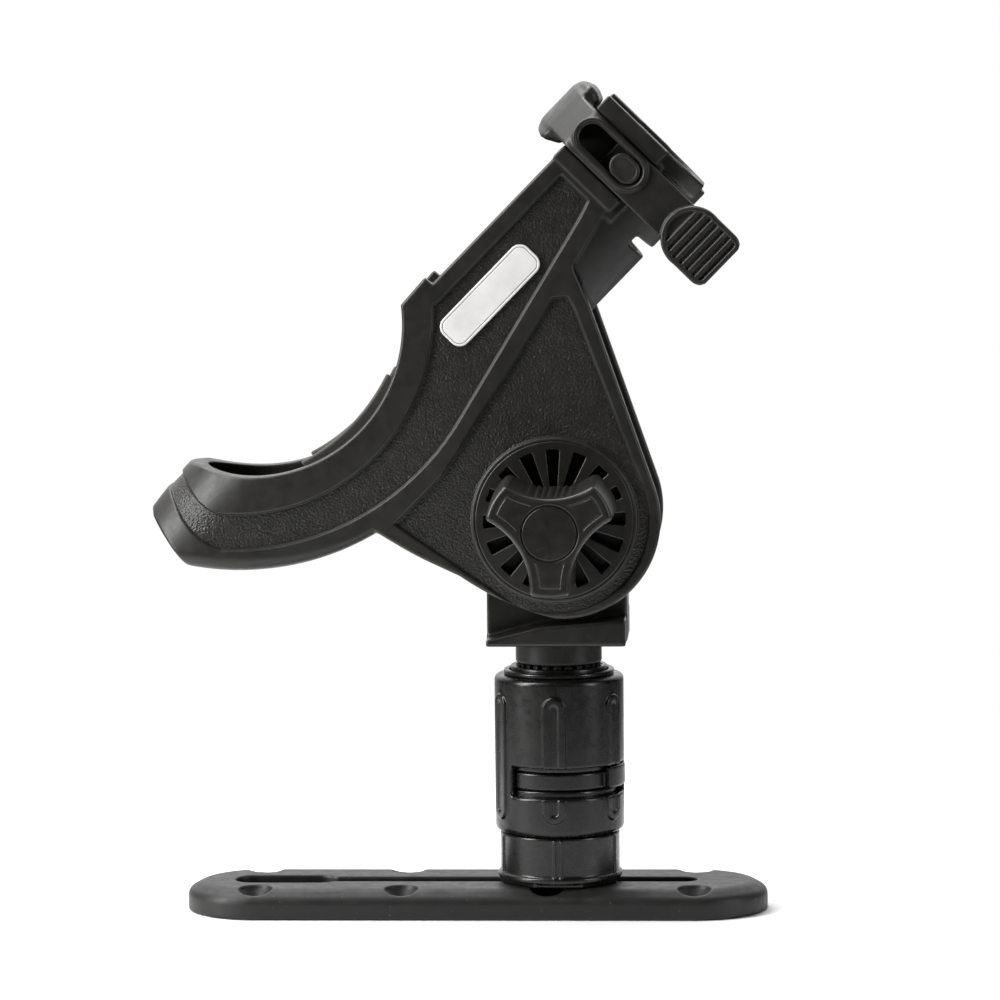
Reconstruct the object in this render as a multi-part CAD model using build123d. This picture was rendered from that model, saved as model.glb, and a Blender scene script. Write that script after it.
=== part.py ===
from build123d import *
import os
from math import atan2, cos, degrees, radians, sin, sqrt

os.makedirs("parts", exist_ok=True)

# Tilting fishing-rod holder on a splined post, in a swivel adapter that slides along a track.
# Millimetres. X runs along the track, Y from the knob side to the far side, Z up.
# The origin is the centre of the track's bottom face.

# Track
TRACK_LENGTH = 203.2
TRACK_WIDTH = 50.8
TRACK_HEIGHT = 10.0
TRACK_EDGE_HEIGHT = 7.0
TRACK_BEVEL_WIDTH = 5.4
SCREW_PITCH_X = 50.8
SCREW_ROW_Y = 18.0
SCREW_BORE = 5.5
SCREW_HEAD = 11.6
SLOT_WIDTH = 9.0
SLOT_UNDERCUT = 14.4
SLOT_LEFT = -85.0
SLOT_RIGHT = 77.0
DROP_IN_END = -48.7
SLOT_FLOOR = 2.0
LIP_UNDERSIDE = 6.5

# Adapter, on a vertical axis at AXIS_X
AXIS_X = 29.2
FOOT_LENGTH = 30.0
FOOT_HALF_WIDTH = 6.7
FOOT_NECK_HALF = 4.2
ADAPTER_BOTTOM = 10.1
FLATS_TOP = 12.0
FLANGE_TOP = 13.6
FLANGE_RADIUS = 21.7
NECK_RADIUS = 20.85
NECK_TOP = 27.6
NECK_RIB_REACH = 21.5
CORE_RADIUS = 19.8
CORE_TOP = 80.2
CORE_BORE = 14.3
BORE_FLOOR = 31.0
HEAD_SEAT = 72.0
NUT_WELL_RADIUS = 10.0
NUT_WELL_FLOOR = 16.5
WAIST_RADIUS = 18.4
STUD_RADIUS = 4.0
STUD_TOP = 27.0
NUT_HALF = 6.5
NUT_HEIGHT = 6.5
SLEEVE_RADIUS = 22.5
SLEEVE_BORE = 20.2
SLEEVE_BOTTOM = 28.1
SLEEVE_TOP = 82.8
SLEEVE_LIP_BOTTOM = 80.6
SLEEVE_LIP_BORE = 17.3
COLLAR_RADIUS = 19.2
COLLAR_TOP = 84.6
RIB_COUNT = 6
RIB_BOTTOM = 33.0
RIB_TOP = 77.0
RIB_WIDTH = 8.0
RIB_REACH = 23.1
RIB_TURN = -2.5
WINDOW_BOTTOM = 41.7
WINDOW_TOP = 52.1
WINDOW_START = -47.0
WINDOW_END = 90.0
RING_BOTTOM = 44.2
RING_TOP = 49.9
RING_OUTER = 19.9
RING_INNER = 18.7
TAB_START = 53.0
TAB_END = 88.0
TAB_RADIUS = 22.9

# Splined post
SPLINE_TEETH = 24
SPLINE_TIP = 14.5
SPLINE_ROOT = 13.2
SPLINE_BOTTOM = 76.0
SPLINE_TOP = 86.9
SPLINE_PLAY = 0.4
POST_RADIUS = 11.0
POST_BOTTOM = 40.0
POST_GROOVE_RADIUS = 9.4
SHAFT_RADIUS = 15.0
HEAD_RADIUS = 16.9
HEAD_TOP = 85.9
SOCKET_BOTTOM = 34.0
SPLINE_HOLE_BOTTOM = 74.6

# Post bracket
PLATE_BOTTOM = 95.1
PLATE_TOP = 104.4
PLATE_HALF_WIDTH = 24.2
PLATE_HALF_DEPTH = 25.0
TONGUE_HALF = 13.6
PIVOT_BORE = 5.6

# Tilt pivot: the holder turns about Y here
PIVOT_Z = 139.0
TUBE_ANGLE = 45.5
PIVOT = (AXIS_X, 0, PIVOT_Z)
BOLT_RADIUS = 4.0
BOLT_END = 56.0
BOLT_HEAD_SEAT = 28.9
WASHER_RADIUS = 9.5
TOOTH_COUNT = 36

# Holder, drawn with x along the rod tube and z square to it, from the tilt pivot
TUBE_AXIS = 63.2
TUBE_RADIUS = 22.75
CHANNEL_RADIUS = 20.0
WALL_FACE = 26.0
FIELD_DEPTH = 1.3
WALL_TOP = 86.2
EAR_INNER = 19.0
CAVITY_HALF = 20.5
TROUGH_CENTRE = (-22.5, 130.0)
TROUGH_RADIUS = 92.5
TROUGH_WALL = 3.5
LIP_INNER_CENTRE = (-24.7, 122.0)
LIP_INNER_RADIUS = 52.7
LIP_OUTER_CENTRE = (-26.4, 127.4)
LIP_OUTER_RADIUS = 68.2
BAND_CENTRE = (-19.5, 136.9)
BAND_RADIUS = 92.2
END_FACE = 104.5
END_ROUND_EXTRA = 0.6
UNDERSIDE_ROUND = 5.0
TROUGH_SPLIT = -46.0
RAIL_FACE = 29.5
RAIL_LEFT = 88.7
RAIL_RIGHT = 94.2
STOP_LEFT = 110.8
STOP_RIGHT = 117.0
SEAT_FACE = 25.2
BOSS_RADIUS = 28.5
FIELD_RADIUS = 32.4
DISC_RADIUS = 27.2
DISC_FACE = 27.2
DISC_BACK = 20.8
SLOT_COUNT = 16
LINER_LEFT = -47.5
LINER_LENGTH = 43.0
LINER_THICKNESS = 2.8
LABEL_MIDDLE = (39.9, 69.3)
LABEL_LENGTH = 41.6
LABEL_WIDTH = 11.8
LABEL_CORNER = 4.0

# Lock gate
GATE_LEFT = 94.6
GATE_RIGHT = 110.4
GATE_MIDDLE = 103.0
GATE_SLOT_LOW = 60.5
GATE_SLOT_HIGH = 86.0
GATE_SLOT_WIDTH = 9.2
GATE_FACE = 30.6
GATE_INNER = 25.8
GATE_SHOULDER = 86.0
GATE_TOP = 98.3
GATE_ROOF = 88.5
TAB_HALF = 19.0
SKIRT_INNER = 17.4
SKIRT_LOW = 73.0
PADDLE_BACK = 30.4
PADDLE_FACE = 36.0
PADDLE_RIM = 1.6
GUIDE_MIDDLE = 66.3
GUIDE_HEIGHT = 11.2

# Knob
LOBE_REACH = 22.7
LOBE_CORNER = 22.1
LOBE_WIDTH = 14.8
KNOB_WAIST = 12.5
KNOB_DRAFT = 1.6
KNOB_BACK = 28.6
KNOB_LOBE_BACK = 34.5
KNOB_FACE = 70.0
HUB_RADIUS = 12.0
NUT_POCKET = 35.2


def prism(outline, y_low, y_high):
    """A sketch of x and z, as a solid between two depths."""
    return extrude(Pos(0, y_high, 0) * (Plane.XZ * outline), amount=y_high - y_low)


def rod(radius, y_low, y_high):
    return prism(Circle(radius), y_low, y_high)


def tube(outer, inner, low, high):
    return Pos(0, 0, low) * extrude(Circle(outer) - Circle(inner), amount=high - low)


def drum(radius, low, high):
    return Pos(0, 0, low) * Cylinder(radius, high - low, align=(Align.CENTER, Align.CENTER, Align.MIN))


def block(x_low, x_high, y_low, y_high, z_low, z_high):
    size = (x_high - x_low, y_high - y_low, z_high - z_low)
    return Pos(x_low, y_low, z_low) * Box(*size, align=(Align.MIN, Align.MIN, Align.MIN))


def on_circle(centre, radius, x):
    """The point of a circle's lower half at x."""
    return (x, centre[1] - sqrt(radius**2 - (x - centre[0]) ** 2))


def arc_between(centre, radius, x_start, x_end):
    """The lower arc of a circle from one x to another."""
    x_middle = (x_start + x_end) / 2
    ends = [on_circle(centre, radius, x) for x in (x_start, x_middle, x_end)]
    return ThreePointArc(*ends)


def both_sides(solid):
    return solid + mirror(solid, about=Plane.XZ)


def stadium(x_low, x_high, width):
    length = x_high - x_low
    return Pos((x_low + x_high) / 2, 0) * SlotOverall(length, width)


def save(shape, name):
    shape.label = name
    export_step(shape, f"parts/{name}.step")


# ---- Track ----


def make_track_rail():
    lower = extrude(SlotOverall(TRACK_LENGTH, TRACK_WIDTH), amount=TRACK_EDGE_HEIGHT)
    bevel_angle = degrees(atan2(TRACK_BEVEL_WIDTH, TRACK_HEIGHT - TRACK_EDGE_HEIGHT))
    top_sketch = Pos(0, 0, TRACK_EDGE_HEIGHT) * SlotOverall(TRACK_LENGTH, TRACK_WIDTH)
    upper = extrude(top_sketch, amount=TRACK_HEIGHT - TRACK_EDGE_HEIGHT, taper=bevel_angle)
    rail = lower + upper
    narrow = stadium(DROP_IN_END - 10, SLOT_RIGHT, SLOT_WIDTH)
    wide = stadium(SLOT_LEFT, DROP_IN_END, SLOT_UNDERCUT)
    undercut = stadium(SLOT_LEFT, SLOT_RIGHT + 2.7, SLOT_UNDERCUT)
    rail -= Pos(0, 0, SLOT_FLOOR) * extrude(narrow + wide, amount=TRACK_HEIGHT)
    rail -= Pos(0, 0, SLOT_FLOOR) * extrude(undercut, amount=LIP_UNDERSIDE - SLOT_FLOOR)
    head_depth = (SCREW_HEAD - SCREW_BORE) / 2
    for column in (-1.5, -0.5, 0.5, 1.5):
        for side in (-1, 1):
            spot = Pos(column * SCREW_PITCH_X, side * SCREW_ROW_Y, 0)
            rail -= spot * drum(SCREW_BORE / 2, -1, TRACK_HEIGHT + 1)
            sink = Cone(SCREW_BORE / 2, SCREW_HEAD / 2, head_depth)
            rail -= spot * Pos(0, 0, TRACK_HEIGHT - 1 - head_depth / 2) * sink
            rail -= spot * drum(SCREW_HEAD / 2, TRACK_HEIGHT - 1, TRACK_HEIGHT + 1)
    return rail


# ---- Adapter: it slides along the track ----


def make_slide_foot():
    half = FOOT_LENGTH / 2
    shoulder = LIP_UNDERSIDE - 0.3
    foot = block(-half, half, -FOOT_HALF_WIDTH, FOOT_HALF_WIDTH, SLOT_FLOOR + 0.3, shoulder)
    foot += block(-half + 2, half - 2, -FOOT_NECK_HALF, FOOT_NECK_HALF, shoulder, TRACK_HEIGHT)
    foot = chamfer(foot.edges().filter_by(Axis.Z), 1.2)
    return foot - drum(STUD_RADIUS + 0.05, 0, TRACK_HEIGHT + 1)


def make_clamp_stud():
    return chamfer(drum(STUD_RADIUS, SLOT_FLOOR + 0.5, STUD_TOP).edges(), 0.5)


def make_adapter_base():
    octagon = RegularPolygon(FLANGE_RADIUS - 1.8, 8, major_radius=False, rotation=22.5)
    base = Pos(0, 0, ADAPTER_BOTTOM) * extrude(octagon, amount=FLATS_TOP - ADAPTER_BOTTOM)
    base += drum(FLANGE_RADIUS, FLATS_TOP, FLANGE_TOP)
    base += drum(NECK_RADIUS, FLANGE_TOP, NECK_TOP)
    base += drum(CORE_RADIUS, NECK_TOP, CORE_TOP)
    for turn, offset in ((-67.5, 0), (0, -1.15), (0, 1.15), (67.5, 0)):
        low, high = offset - 0.35, offset + 0.35
        rib = block(low, high, -NECK_RIB_REACH, -NECK_RADIUS + 1, FLANGE_TOP, NECK_TOP - 0.8)
        base += Rot(0, 0, turn) * rib
    base -= tube(CORE_RADIUS + 2, WAIST_RADIUS, RING_BOTTOM - 0.5, RING_TOP + 0.5)
    base -= drum(HEAD_RADIUS + 0.3, HEAD_SEAT, CORE_TOP + 1)
    base -= drum(CORE_BORE, BORE_FLOOR, CORE_TOP + 1)
    base -= drum(NUT_WELL_RADIUS, NUT_WELL_FLOOR, BORE_FLOOR)
    return base - drum(STUD_RADIUS + 0.2, 0, NUT_WELL_FLOOR + 1)


def make_stud_washer():
    return tube(8.5, STUD_RADIUS + 0.2, NUT_WELL_FLOOR, NUT_WELL_FLOOR + 1.6)


def make_stud_nut():
    bottom = NUT_WELL_FLOOR + 1.6
    nut = Pos(0, 0, bottom) * extrude(RegularPolygon(NUT_HALF, 6, major_radius=False), amount=NUT_HEIGHT)
    return nut - drum(STUD_RADIUS + 0.05, bottom - 1, bottom + NUT_HEIGHT + 1)


# ---- Grip sleeve and lock ring ----


def sector(radius, start, end):
    """A wedge that holds a disc's sector; angles run from the front, towards +X."""
    parts = 4
    turns = [start + (end - start) * step / parts for step in range(parts + 1)]
    far = radius / cos(radians((end - start) / parts / 2))
    points = [(far * sin(radians(turn)), -far * cos(radians(turn))) for turn in turns]
    return make_face(Polyline((0, 0), *points, (0, 0)))


def band_sector(outer, inner, start, end, low, high):
    wedge = extrude(sector(outer + 1, start, end), amount=high - low)
    return (Pos(0, 0, low) * wedge) & tube(outer, inner, low, high)


def make_grip_sleeve():
    sleeve = drum(SLEEVE_RADIUS, SLEEVE_BOTTOM, SLEEVE_TOP)
    sleeve = chamfer(sleeve.edges(), 1.7)
    rib_height = RIB_TOP - RIB_BOTTOM
    root = SLEEVE_RADIUS - 2.0
    for index in range(RIB_COUNT):
        rib = extrude(SlotOverall(rib_height, RIB_WIDTH), amount=RIB_REACH - root)
        rib = chamfer(rib.faces().sort_by(Axis.Z)[-1].edges(), 0.9)
        rib = Pos(0, -root, (RIB_TOP + RIB_BOTTOM) / 2) * Rot(90, 0, 0) * Rot(0, 0, 90) * rib
        sleeve += Rot(0, 0, RIB_TURN + index * 360 / RIB_COUNT) * rib
    sleeve -= drum(SLEEVE_BORE, SLEEVE_BOTTOM - 1, SLEEVE_LIP_BOTTOM)
    sleeve -= drum(SLEEVE_LIP_BORE, SLEEVE_BOTTOM, SLEEVE_TOP + 1)
    window = band_sector(
        RIB_REACH + 2, SLEEVE_BORE - 1, WINDOW_START, WINDOW_END, WINDOW_BOTTOM, WINDOW_TOP
    )
    return sleeve - window


def make_sleeve_collar():
    return tube(COLLAR_RADIUS, SLEEVE_LIP_BORE, SLEEVE_TOP, COLLAR_TOP)


def make_lock_ring():
    ring = tube(RING_OUTER, RING_INNER, RING_BOTTOM, RING_TOP)
    ring -= block(-2, 2, 10, 24, RING_BOTTOM - 1, RING_TOP + 1)
    tab_top = WINDOW_TOP - 0.4
    tab = band_sector(TAB_RADIUS, RING_INNER + 0.2, TAB_START, TAB_END, RING_BOTTOM, tab_top)
    tab -= tube(SLEEVE_BORE + 0.3, RING_INNER - 1, RING_TOP, tab_top)
    return ring + tab


# ---- Gear socket: it turns in the core and takes the post's spline ----


def spline(root, tip, width, low, high):
    teeth = drum(root, low, high)
    for index in range(SPLINE_TEETH):
        tooth = block(0, tip, -width / 2, width / 2, low, high)
        teeth += Rot(0, 0, index * 360 / SPLINE_TEETH) * tooth
    return teeth & drum(tip, low, high)


def make_gear_socket():
    socket = drum(CORE_BORE - 0.3, SOCKET_BOTTOM, HEAD_SEAT + 0.4)
    socket += drum(HEAD_RADIUS, HEAD_SEAT + 0.4, HEAD_TOP)
    socket -= drum(POST_RADIUS + 0.4, SOCKET_BOTTOM - 1, SPLINE_HOLE_BOTTOM + 0.4)
    root, tip = SPLINE_ROOT + SPLINE_PLAY, SPLINE_TIP + SPLINE_PLAY
    return socket - spline(root, tip, 2.3, SPLINE_HOLE_BOTTOM, HEAD_TOP + 1)


def make_snap_ring():
    ring = tube(13.6, 11.9, 32.2, 33.7)
    return ring - block(-1.5, 1.5, 9, 16, 31, 35)


# ---- Post bracket: it lifts out of the socket ----


def make_post_bracket():
    half = PLATE_HALF_WIDTH
    side = Polyline(
        (-half, PLATE_BOTTOM), (half, PLATE_BOTTOM), (half, PLATE_TOP),
        (-5.2, 102.0), (-half, 97.2), (-half, PLATE_BOTTOM),
    )
    bracket = prism(make_face(side), -PLATE_HALF_DEPTH, PLATE_HALF_DEPTH)
    tongue = Pos(0, (PLATE_BOTTOM + PIVOT_Z) / 2) * Rectangle(2 * half, PIVOT_Z - PLATE_BOTTOM)
    tongue += Pos(0, PIVOT_Z) * Circle(half)
    bracket += prism(tongue, -TONGUE_HALF, TONGUE_HALF)
    bracket += drum(SHAFT_RADIUS, SPLINE_TOP, PLATE_BOTTOM)
    bracket += spline(SPLINE_ROOT, SPLINE_TIP, 1.7, SPLINE_BOTTOM, SPLINE_TOP)
    post = chamfer(drum(POST_RADIUS, POST_BOTTOM, SPLINE_BOTTOM).edges().sort_by(Axis.Z)[0], 1.5)
    bracket += post - tube(POST_RADIUS + 1, POST_GROOVE_RADIUS, RING_BOTTOM, RING_TOP)
    bracket -= Pos(0, 0, PIVOT_Z) * rod(PIVOT_BORE, -30, 30)
    return bracket


def make_pivot_bush():
    half = TONGUE_HALF + 0.8
    bush = rod(PIVOT_BORE - 0.1, -half, half) - rod(BOLT_RADIUS + 0.3, -half - 1, half + 1)
    return Pos(0, 0, PIVOT_Z) * bush


def tooth_ring(y_low, y_high, tip):
    """A flat ring with radial teeth on the face that looks at the tongue's side."""
    ring = rod(23.0, y_low, y_high) - rod(9.0, y_low - 1, y_high + 1)
    base = y_high if tip > y_high else y_low
    low, high = min(base, tip), max(base, tip)
    tooth = block(10.0, 22.4, low, high, -0.4, 0.4)
    for index in range(TOOTH_COUNT):
        ring += Rot(0, index * 360 / TOOTH_COUNT, 0) * tooth
    return ring


def make_tongue_teeth(side):
    face = TONGUE_HALF * side
    plate = face + 0.8 * side
    ring = tooth_ring(min(face, plate), max(face, plate), plate + 1.0 * side)
    return Pos(0, 0, PIVOT_Z) * ring


# ---- Holder, in its own frame ----


def end_round(half, x_low, x_high):
    """A bar along x whose top is a half round, a little wider than the walls: the trough's rounded end."""
    top = END_FACE - (WALL_FACE - half)
    radius = half + END_ROUND_EXTRA
    middle = top - radius
    section = Pos(0, middle) * Circle(radius) + Pos(0, middle / 2) * Rectangle(2 * radius, middle)
    bar = extrude(Plane.YZ * section, amount=x_high - x_low)
    return Pos(x_low, 0, 0) * bar


def body_outline():
    """The holder from the side: trough, walls and ears. The trough's underside is cut to its curve later."""
    lip_top = on_circle(LIP_INNER_CENTRE, LIP_INNER_RADIUS, 16.3)
    lip_end = on_circle(LIP_INNER_CENTRE, LIP_INNER_RADIUS, -72.8)
    lip_middle = on_circle(LIP_INNER_CENTRE, LIP_INNER_RADIUS, -28.0)
    edges = [
        ThreePointArc(lip_end, lip_middle, lip_top),
        Polyline(
            lip_top, (28.6, 89.5), (28.9, WALL_TOP), (RAIL_RIGHT, WALL_TOP), (RAIL_RIGHT, 59.8),
            (RAIL_LEFT, 61.0), (67.6, 56.2), (66.2, 54.8), (61.3, 43.0), (31.4, -17.6),
        ),
        ThreePointArc((31.4, -17.6), (5.0, -35.6), (-24.5, -23.8)),
        ThreePointArc((-24.5, -23.8), (-31.6, -9.0), (-36.7, 9.7)),
        Polyline(
            (-36.7, 9.7), (-44.2, 31.0), (TROUGH_SPLIT, 36.0), (-70.0, 45.0), (-95.0, 68.0),
            (-100.6, 78.0), (-99.2, 88.3), (-97.3, 100.0), (-95.9, 102.6), (-91.4, 103.2),
            (-80.0, END_FACE), (-76.0, END_FACE), lip_end,
        ),
    ]
    return make_face(edges)


def trough_limits():
    """The trough's rounded end and rounded underside; to the right of the split nothing is trimmed."""
    wide = WALL_FACE + END_ROUND_EXTRA
    underside = rod(TROUGH_RADIUS, -wide, wide)
    underside = fillet(underside.edges().filter_by(GeomType.CIRCLE), UNDERSIDE_ROUND)
    underside = Pos(TROUGH_CENTRE[0], 0, TROUGH_CENTRE[1]) * underside
    left = end_round(WALL_FACE, -120, TROUGH_SPLIT) & underside
    return left + block(TROUGH_SPLIT, 120, -40, 40, -60, 120)


def upper_field():
    """The textured field between the lip, the lower band and the top border."""
    lip_left, lip_right = -80.0, 23.5
    band_left, band_right = -85.3, 0.0
    edges = [
        arc_between(LIP_OUTER_CENTRE, LIP_OUTER_RADIUS, lip_right, lip_left),
        Polyline(
            on_circle(LIP_OUTER_CENTRE, LIP_OUTER_RADIUS, lip_left), (-81.5, 92.0), (-80.7, 99.6),
            (-79.5, 110.0), (-86.5, 110.0), (-87.0, 102.0), (-88.7, 96.0), (-90.2, 88.7), (-90.2, 82.6),
            (-89.2, 77.4), on_circle(BAND_CENTRE, BAND_RADIUS, band_left),
        ),
        arc_between(BAND_CENTRE, BAND_RADIUS, band_left, band_right),
        Polyline(
            on_circle(BAND_CENTRE, BAND_RADIUS, band_right), (80.5, 65.7), (86.5, 67.6), (86.5, 80.6),
            (25.0, 80.6), on_circle(LIP_OUTER_CENTRE, LIP_OUTER_RADIUS, lip_right),
        ),
    ]
    return make_face(edges)


def ear_field():
    """The textured triangle of an ear, with a groove that runs on round the pivot boss."""
    triangle = make_face(Polyline(
        (-39.5, 38.3), (-16.0, 38.3), (18.8, 45.5), (54.0, 53.5), (58.0, 50.0), (57.0, 46.0),
        (29.4, -13.6), (-31.9, -5.5), (-39.5, 38.3),
    ))
    triangle = fillet(triangle.vertices().sort_by(Axis.Y)[-3:], 1.6)
    return triangle + Circle(FIELD_RADIUS)


def make_channel():
    """The rod channel: a round bottom, open at the top."""
    section = Pos(0, TUBE_AXIS) * Circle(CHANNEL_RADIUS)
    section += Pos(0, TUBE_AXIS + 30) * Rectangle(2 * CHANNEL_RADIUS, 60)
    return Pos(-60, 0, 0) * extrude(Plane.YZ * section, amount=190)


def make_cavity():
    """The hollow of the trough, under its lip."""
    inner = TROUGH_RADIUS - TROUGH_WALL
    outline = Pos(*TROUGH_CENTRE) * Circle(inner)
    hollow = prism(outline, -CAVITY_HALF, CAVITY_HALF)
    return hollow & end_round(CAVITY_HALF, -97.5, 9.0)


def make_gate_seat():
    """Rails and flange at the mouth of the tube, between which the gate slides."""
    seat = block(RAIL_LEFT, RAIL_RIGHT, -RAIL_FACE, RAIL_FACE, 59.8, WALL_TOP + 0.4)
    seat += block(STOP_LEFT, STOP_RIGHT, -RAIL_FACE, RAIL_FACE, 59.6, 87.4)
    seat += block(88.0, 112.0, -SEAT_FACE, SEAT_FACE, 57.0, 74.0)
    radius = TUBE_RADIUS + 1.05
    flange = Pos(0, TUBE_AXIS) * Circle(radius) + Pos(0, TUBE_AXIS + 5) * Rectangle(2 * radius, 10)
    flange &= Pos(0, 70) * Rectangle(60, 55)
    seat += Pos(STOP_LEFT + 0.4, 0, 0) * extrude(Plane.YZ * flange, amount=STOP_RIGHT - STOP_LEFT - 0.4)
    return seat


def field_core():
    """What stays when the textured fields are sunk."""
    depth = WALL_FACE - FIELD_DEPTH
    return end_round(depth, -120, TROUGH_SPLIT) + block(TROUGH_SPLIT, 120, -depth, depth, -60, 120)


def make_holder_body():
    body = prism(body_outline(), -WALL_FACE, WALL_FACE) & trough_limits()
    pipe = Pos(-20, 0, 0) * extrude(Plane.YZ * (Pos(0, TUBE_AXIS) * Circle(TUBE_RADIUS)), amount=135)
    bowl = prism(Pos(*TROUGH_CENTRE) * Circle(TROUGH_RADIUS), -40, 40)
    body -= block(TROUGH_SPLIT, 90, -EAR_INNER, EAR_INNER, -60, 56) - pipe - bowl
    body += pipe & block(-20, 115, -30, 30, 0, TUBE_AXIS + 5)
    body += make_gate_seat()
    body -= block(84.8, 88.8, -17, 17, 30, 47.2)
    core = field_core()
    body -= prism(upper_field(), -40, 40) - core
    body -= prism(ear_field(), -40, 40) - core
    body += both_sides(rod(BOSS_RADIUS, EAR_INNER + 1, DISC_FACE - 0.2))
    body -= both_sides(rod(DISC_RADIUS + 0.3, DISC_BACK - 0.1, 40))
    body -= rod(BOLT_RADIUS + 0.3, -40, 40)
    body -= make_channel()
    body -= make_cavity()
    return body


def make_clamp_disc():
    """A disc with radial wedge slots, let into the ear; the far one is its mirror image."""
    disc = rod(DISC_RADIUS, -DISC_FACE, -DISC_BACK)
    wedge = make_face(Polyline((11.3, -1.3), (24.3, -2.3), (24.3, 2.3), (11.3, 1.3), (11.3, -1.3)))
    wedge = fillet(wedge.vertices(), 0.6)
    for index in range(SLOT_COUNT):
        slot = prism(wedge, -DISC_FACE - 1, -DISC_BACK - 1.2)
        disc -= Rot(0, 44.5 + index * 360 / SLOT_COUNT, 0) * slot
    return disc - rod(BOLT_RADIUS + 0.3, -40, 40)


def make_ear_teeth(side):
    face = EAR_INNER * side
    plate = (EAR_INNER - 2.8) * side
    return tooth_ring(min(face, plate), max(face, plate), plate - 0.6 * side)


def make_cradle_liner():
    outer = CHANNEL_RADIUS - 0.4
    inner = outer - LINER_THICKNESS
    section = Pos(0, TUBE_AXIS) * Circle(outer) + Pos(0, TUBE_AXIS + 10) * Rectangle(2 * outer, 20)
    section -= Pos(0, TUBE_AXIS) * Circle(inner) + Pos(0, TUBE_AXIS + 12) * Rectangle(2 * inner, 24)
    liner = Pos(LINER_LEFT, 0, 0) * extrude(Plane.YZ * section, amount=LINER_LENGTH)
    return liner - prism(Pos(-25.8, 140.6) * Circle(67.8), -30, 30)


def make_label_plate():
    plate = Pos(*LABEL_MIDDLE) * RectangleRounded(LABEL_LENGTH, LABEL_WIDTH, LABEL_CORNER)
    return prism(plate, -WALL_FACE + 0.3, -WALL_FACE + FIELD_DEPTH)


def make_gate_boss():
    boss = Pos(GATE_MIDDLE, GUIDE_MIDDLE) * Rot(0, 0, 90) * SlotOverall(GUIDE_HEIGHT, GATE_SLOT_WIDTH - 0.4)
    return prism(boss, -31.6, -SEAT_FACE)


# ---- Lock gate ----


def gate_slot(grow):
    height = GATE_SLOT_HIGH - GATE_SLOT_LOW + grow
    middle = (GATE_SLOT_HIGH + GATE_SLOT_LOW) / 2
    return Pos(GATE_MIDDLE, middle) * Rot(0, 0, 90) * SlotOverall(height, GATE_SLOT_WIDTH + grow)


def make_lock_gate():
    outer = make_face([
        ThreePointArc((-GATE_FACE, GATE_SHOULDER), (0, GATE_TOP), (GATE_FACE, GATE_SHOULDER)),
        Polyline(
            (GATE_FACE, GATE_SHOULDER), (GATE_FACE, 47.0), (-GATE_FACE, 47.0), (-GATE_FACE, GATE_SHOULDER),
        ),
    ])
    inner = Pos(0, GATE_ROOF / 2) * Rectangle(2 * GATE_INNER, GATE_ROOF)
    gate = Pos(GATE_LEFT, 0, 0) * extrude(Plane.YZ * (outer - inner), amount=GATE_RIGHT - GATE_LEFT)
    tab = make_face(Polyline(
        (94.0, GATE_ROOF), (90.4, 94.6), (93.4, GATE_TOP), (112.9, GATE_TOP), (114.9, 95.0), (114.9, 92.0),
        (113.0, GATE_ROOF), (94.0, GATE_ROOF),
    ))
    arch = Pos(80.0, 0, 0) * extrude(Plane.YZ * outer, amount=40.0)
    gate += prism(tab, -TAB_HALF, TAB_HALF) & arch
    gate += both_sides(block(95.0, 110.0, -TAB_HALF, -SKIRT_INNER, SKIRT_LOW, GATE_ROOF + 1))
    gate += both_sides(prism(gate_slot(4.0), -GATE_FACE - 1.2, -GATE_FACE + 0.6))
    gate -= both_sides(prism(gate_slot(0.0), -GATE_FACE - 2, -GATE_INNER + 2))
    paddle = make_face([
        Polyline((91.5, 32.0), (91.5, 22.6), (94.0, 19.7), (110.5, 19.7), (113.0, 22.6), (113.0, 32.0)),
        ThreePointArc((113.0, 32.0), (102.25, 44.4), (91.5, 32.0)),
    ])
    pad = prism(paddle, -PADDLE_FACE, -PADDLE_BACK)
    gate += pad - prism(offset(paddle, -PADDLE_RIM), -PADDLE_FACE - 1, -PADDLE_FACE + 0.9)
    for index in range(6):
        middle = 23.4 + 3.0 * index
        rib = block(88, 116, -PADDLE_FACE, -PADDLE_FACE + 1.1, middle - 0.7, middle + 0.7)
        gate += rib & pad
    strip = block(GATE_LEFT, GATE_RIGHT, -GATE_FACE, -GATE_INNER, 34.0, 50.0)
    return gate + strip


# ---- Tilt bolt and knob, square to the world ----


def make_tilt_bolt():
    head = prism(RegularPolygon(NUT_HALF, 6, major_radius=False), BOLT_HEAD_SEAT, BOLT_HEAD_SEAT + 5.2)
    return head + rod(BOLT_RADIUS, -BOLT_END, BOLT_HEAD_SEAT)


def make_washer(y_low, y_high):
    return rod(WASHER_RADIUS, y_low, y_high) - rod(BOLT_RADIUS + 0.3, -60, 60)


def turned(along, across, angle):
    """A point given along and across a direction."""
    heading = radians(angle)
    return (along * cos(heading) - across * sin(heading), along * sin(heading) + across * cos(heading))


def knob_outline():
    edges = []
    half = LOBE_WIDTH / 2
    for lobe in (-90, 30, 150):
        first = turned(LOBE_CORNER, -half, lobe)
        last = turned(LOBE_CORNER, half, lobe)
        following = turned(LOBE_CORNER, -half, lobe + 120)
        edges.append(ThreePointArc(first, turned(LOBE_REACH, 0, lobe), last))
        edges.append(ThreePointArc(last, turned(KNOB_WAIST, 0, lobe + 60), following))
    face = make_face(edges)
    return fillet(face.vertices(), 2.0)


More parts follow.
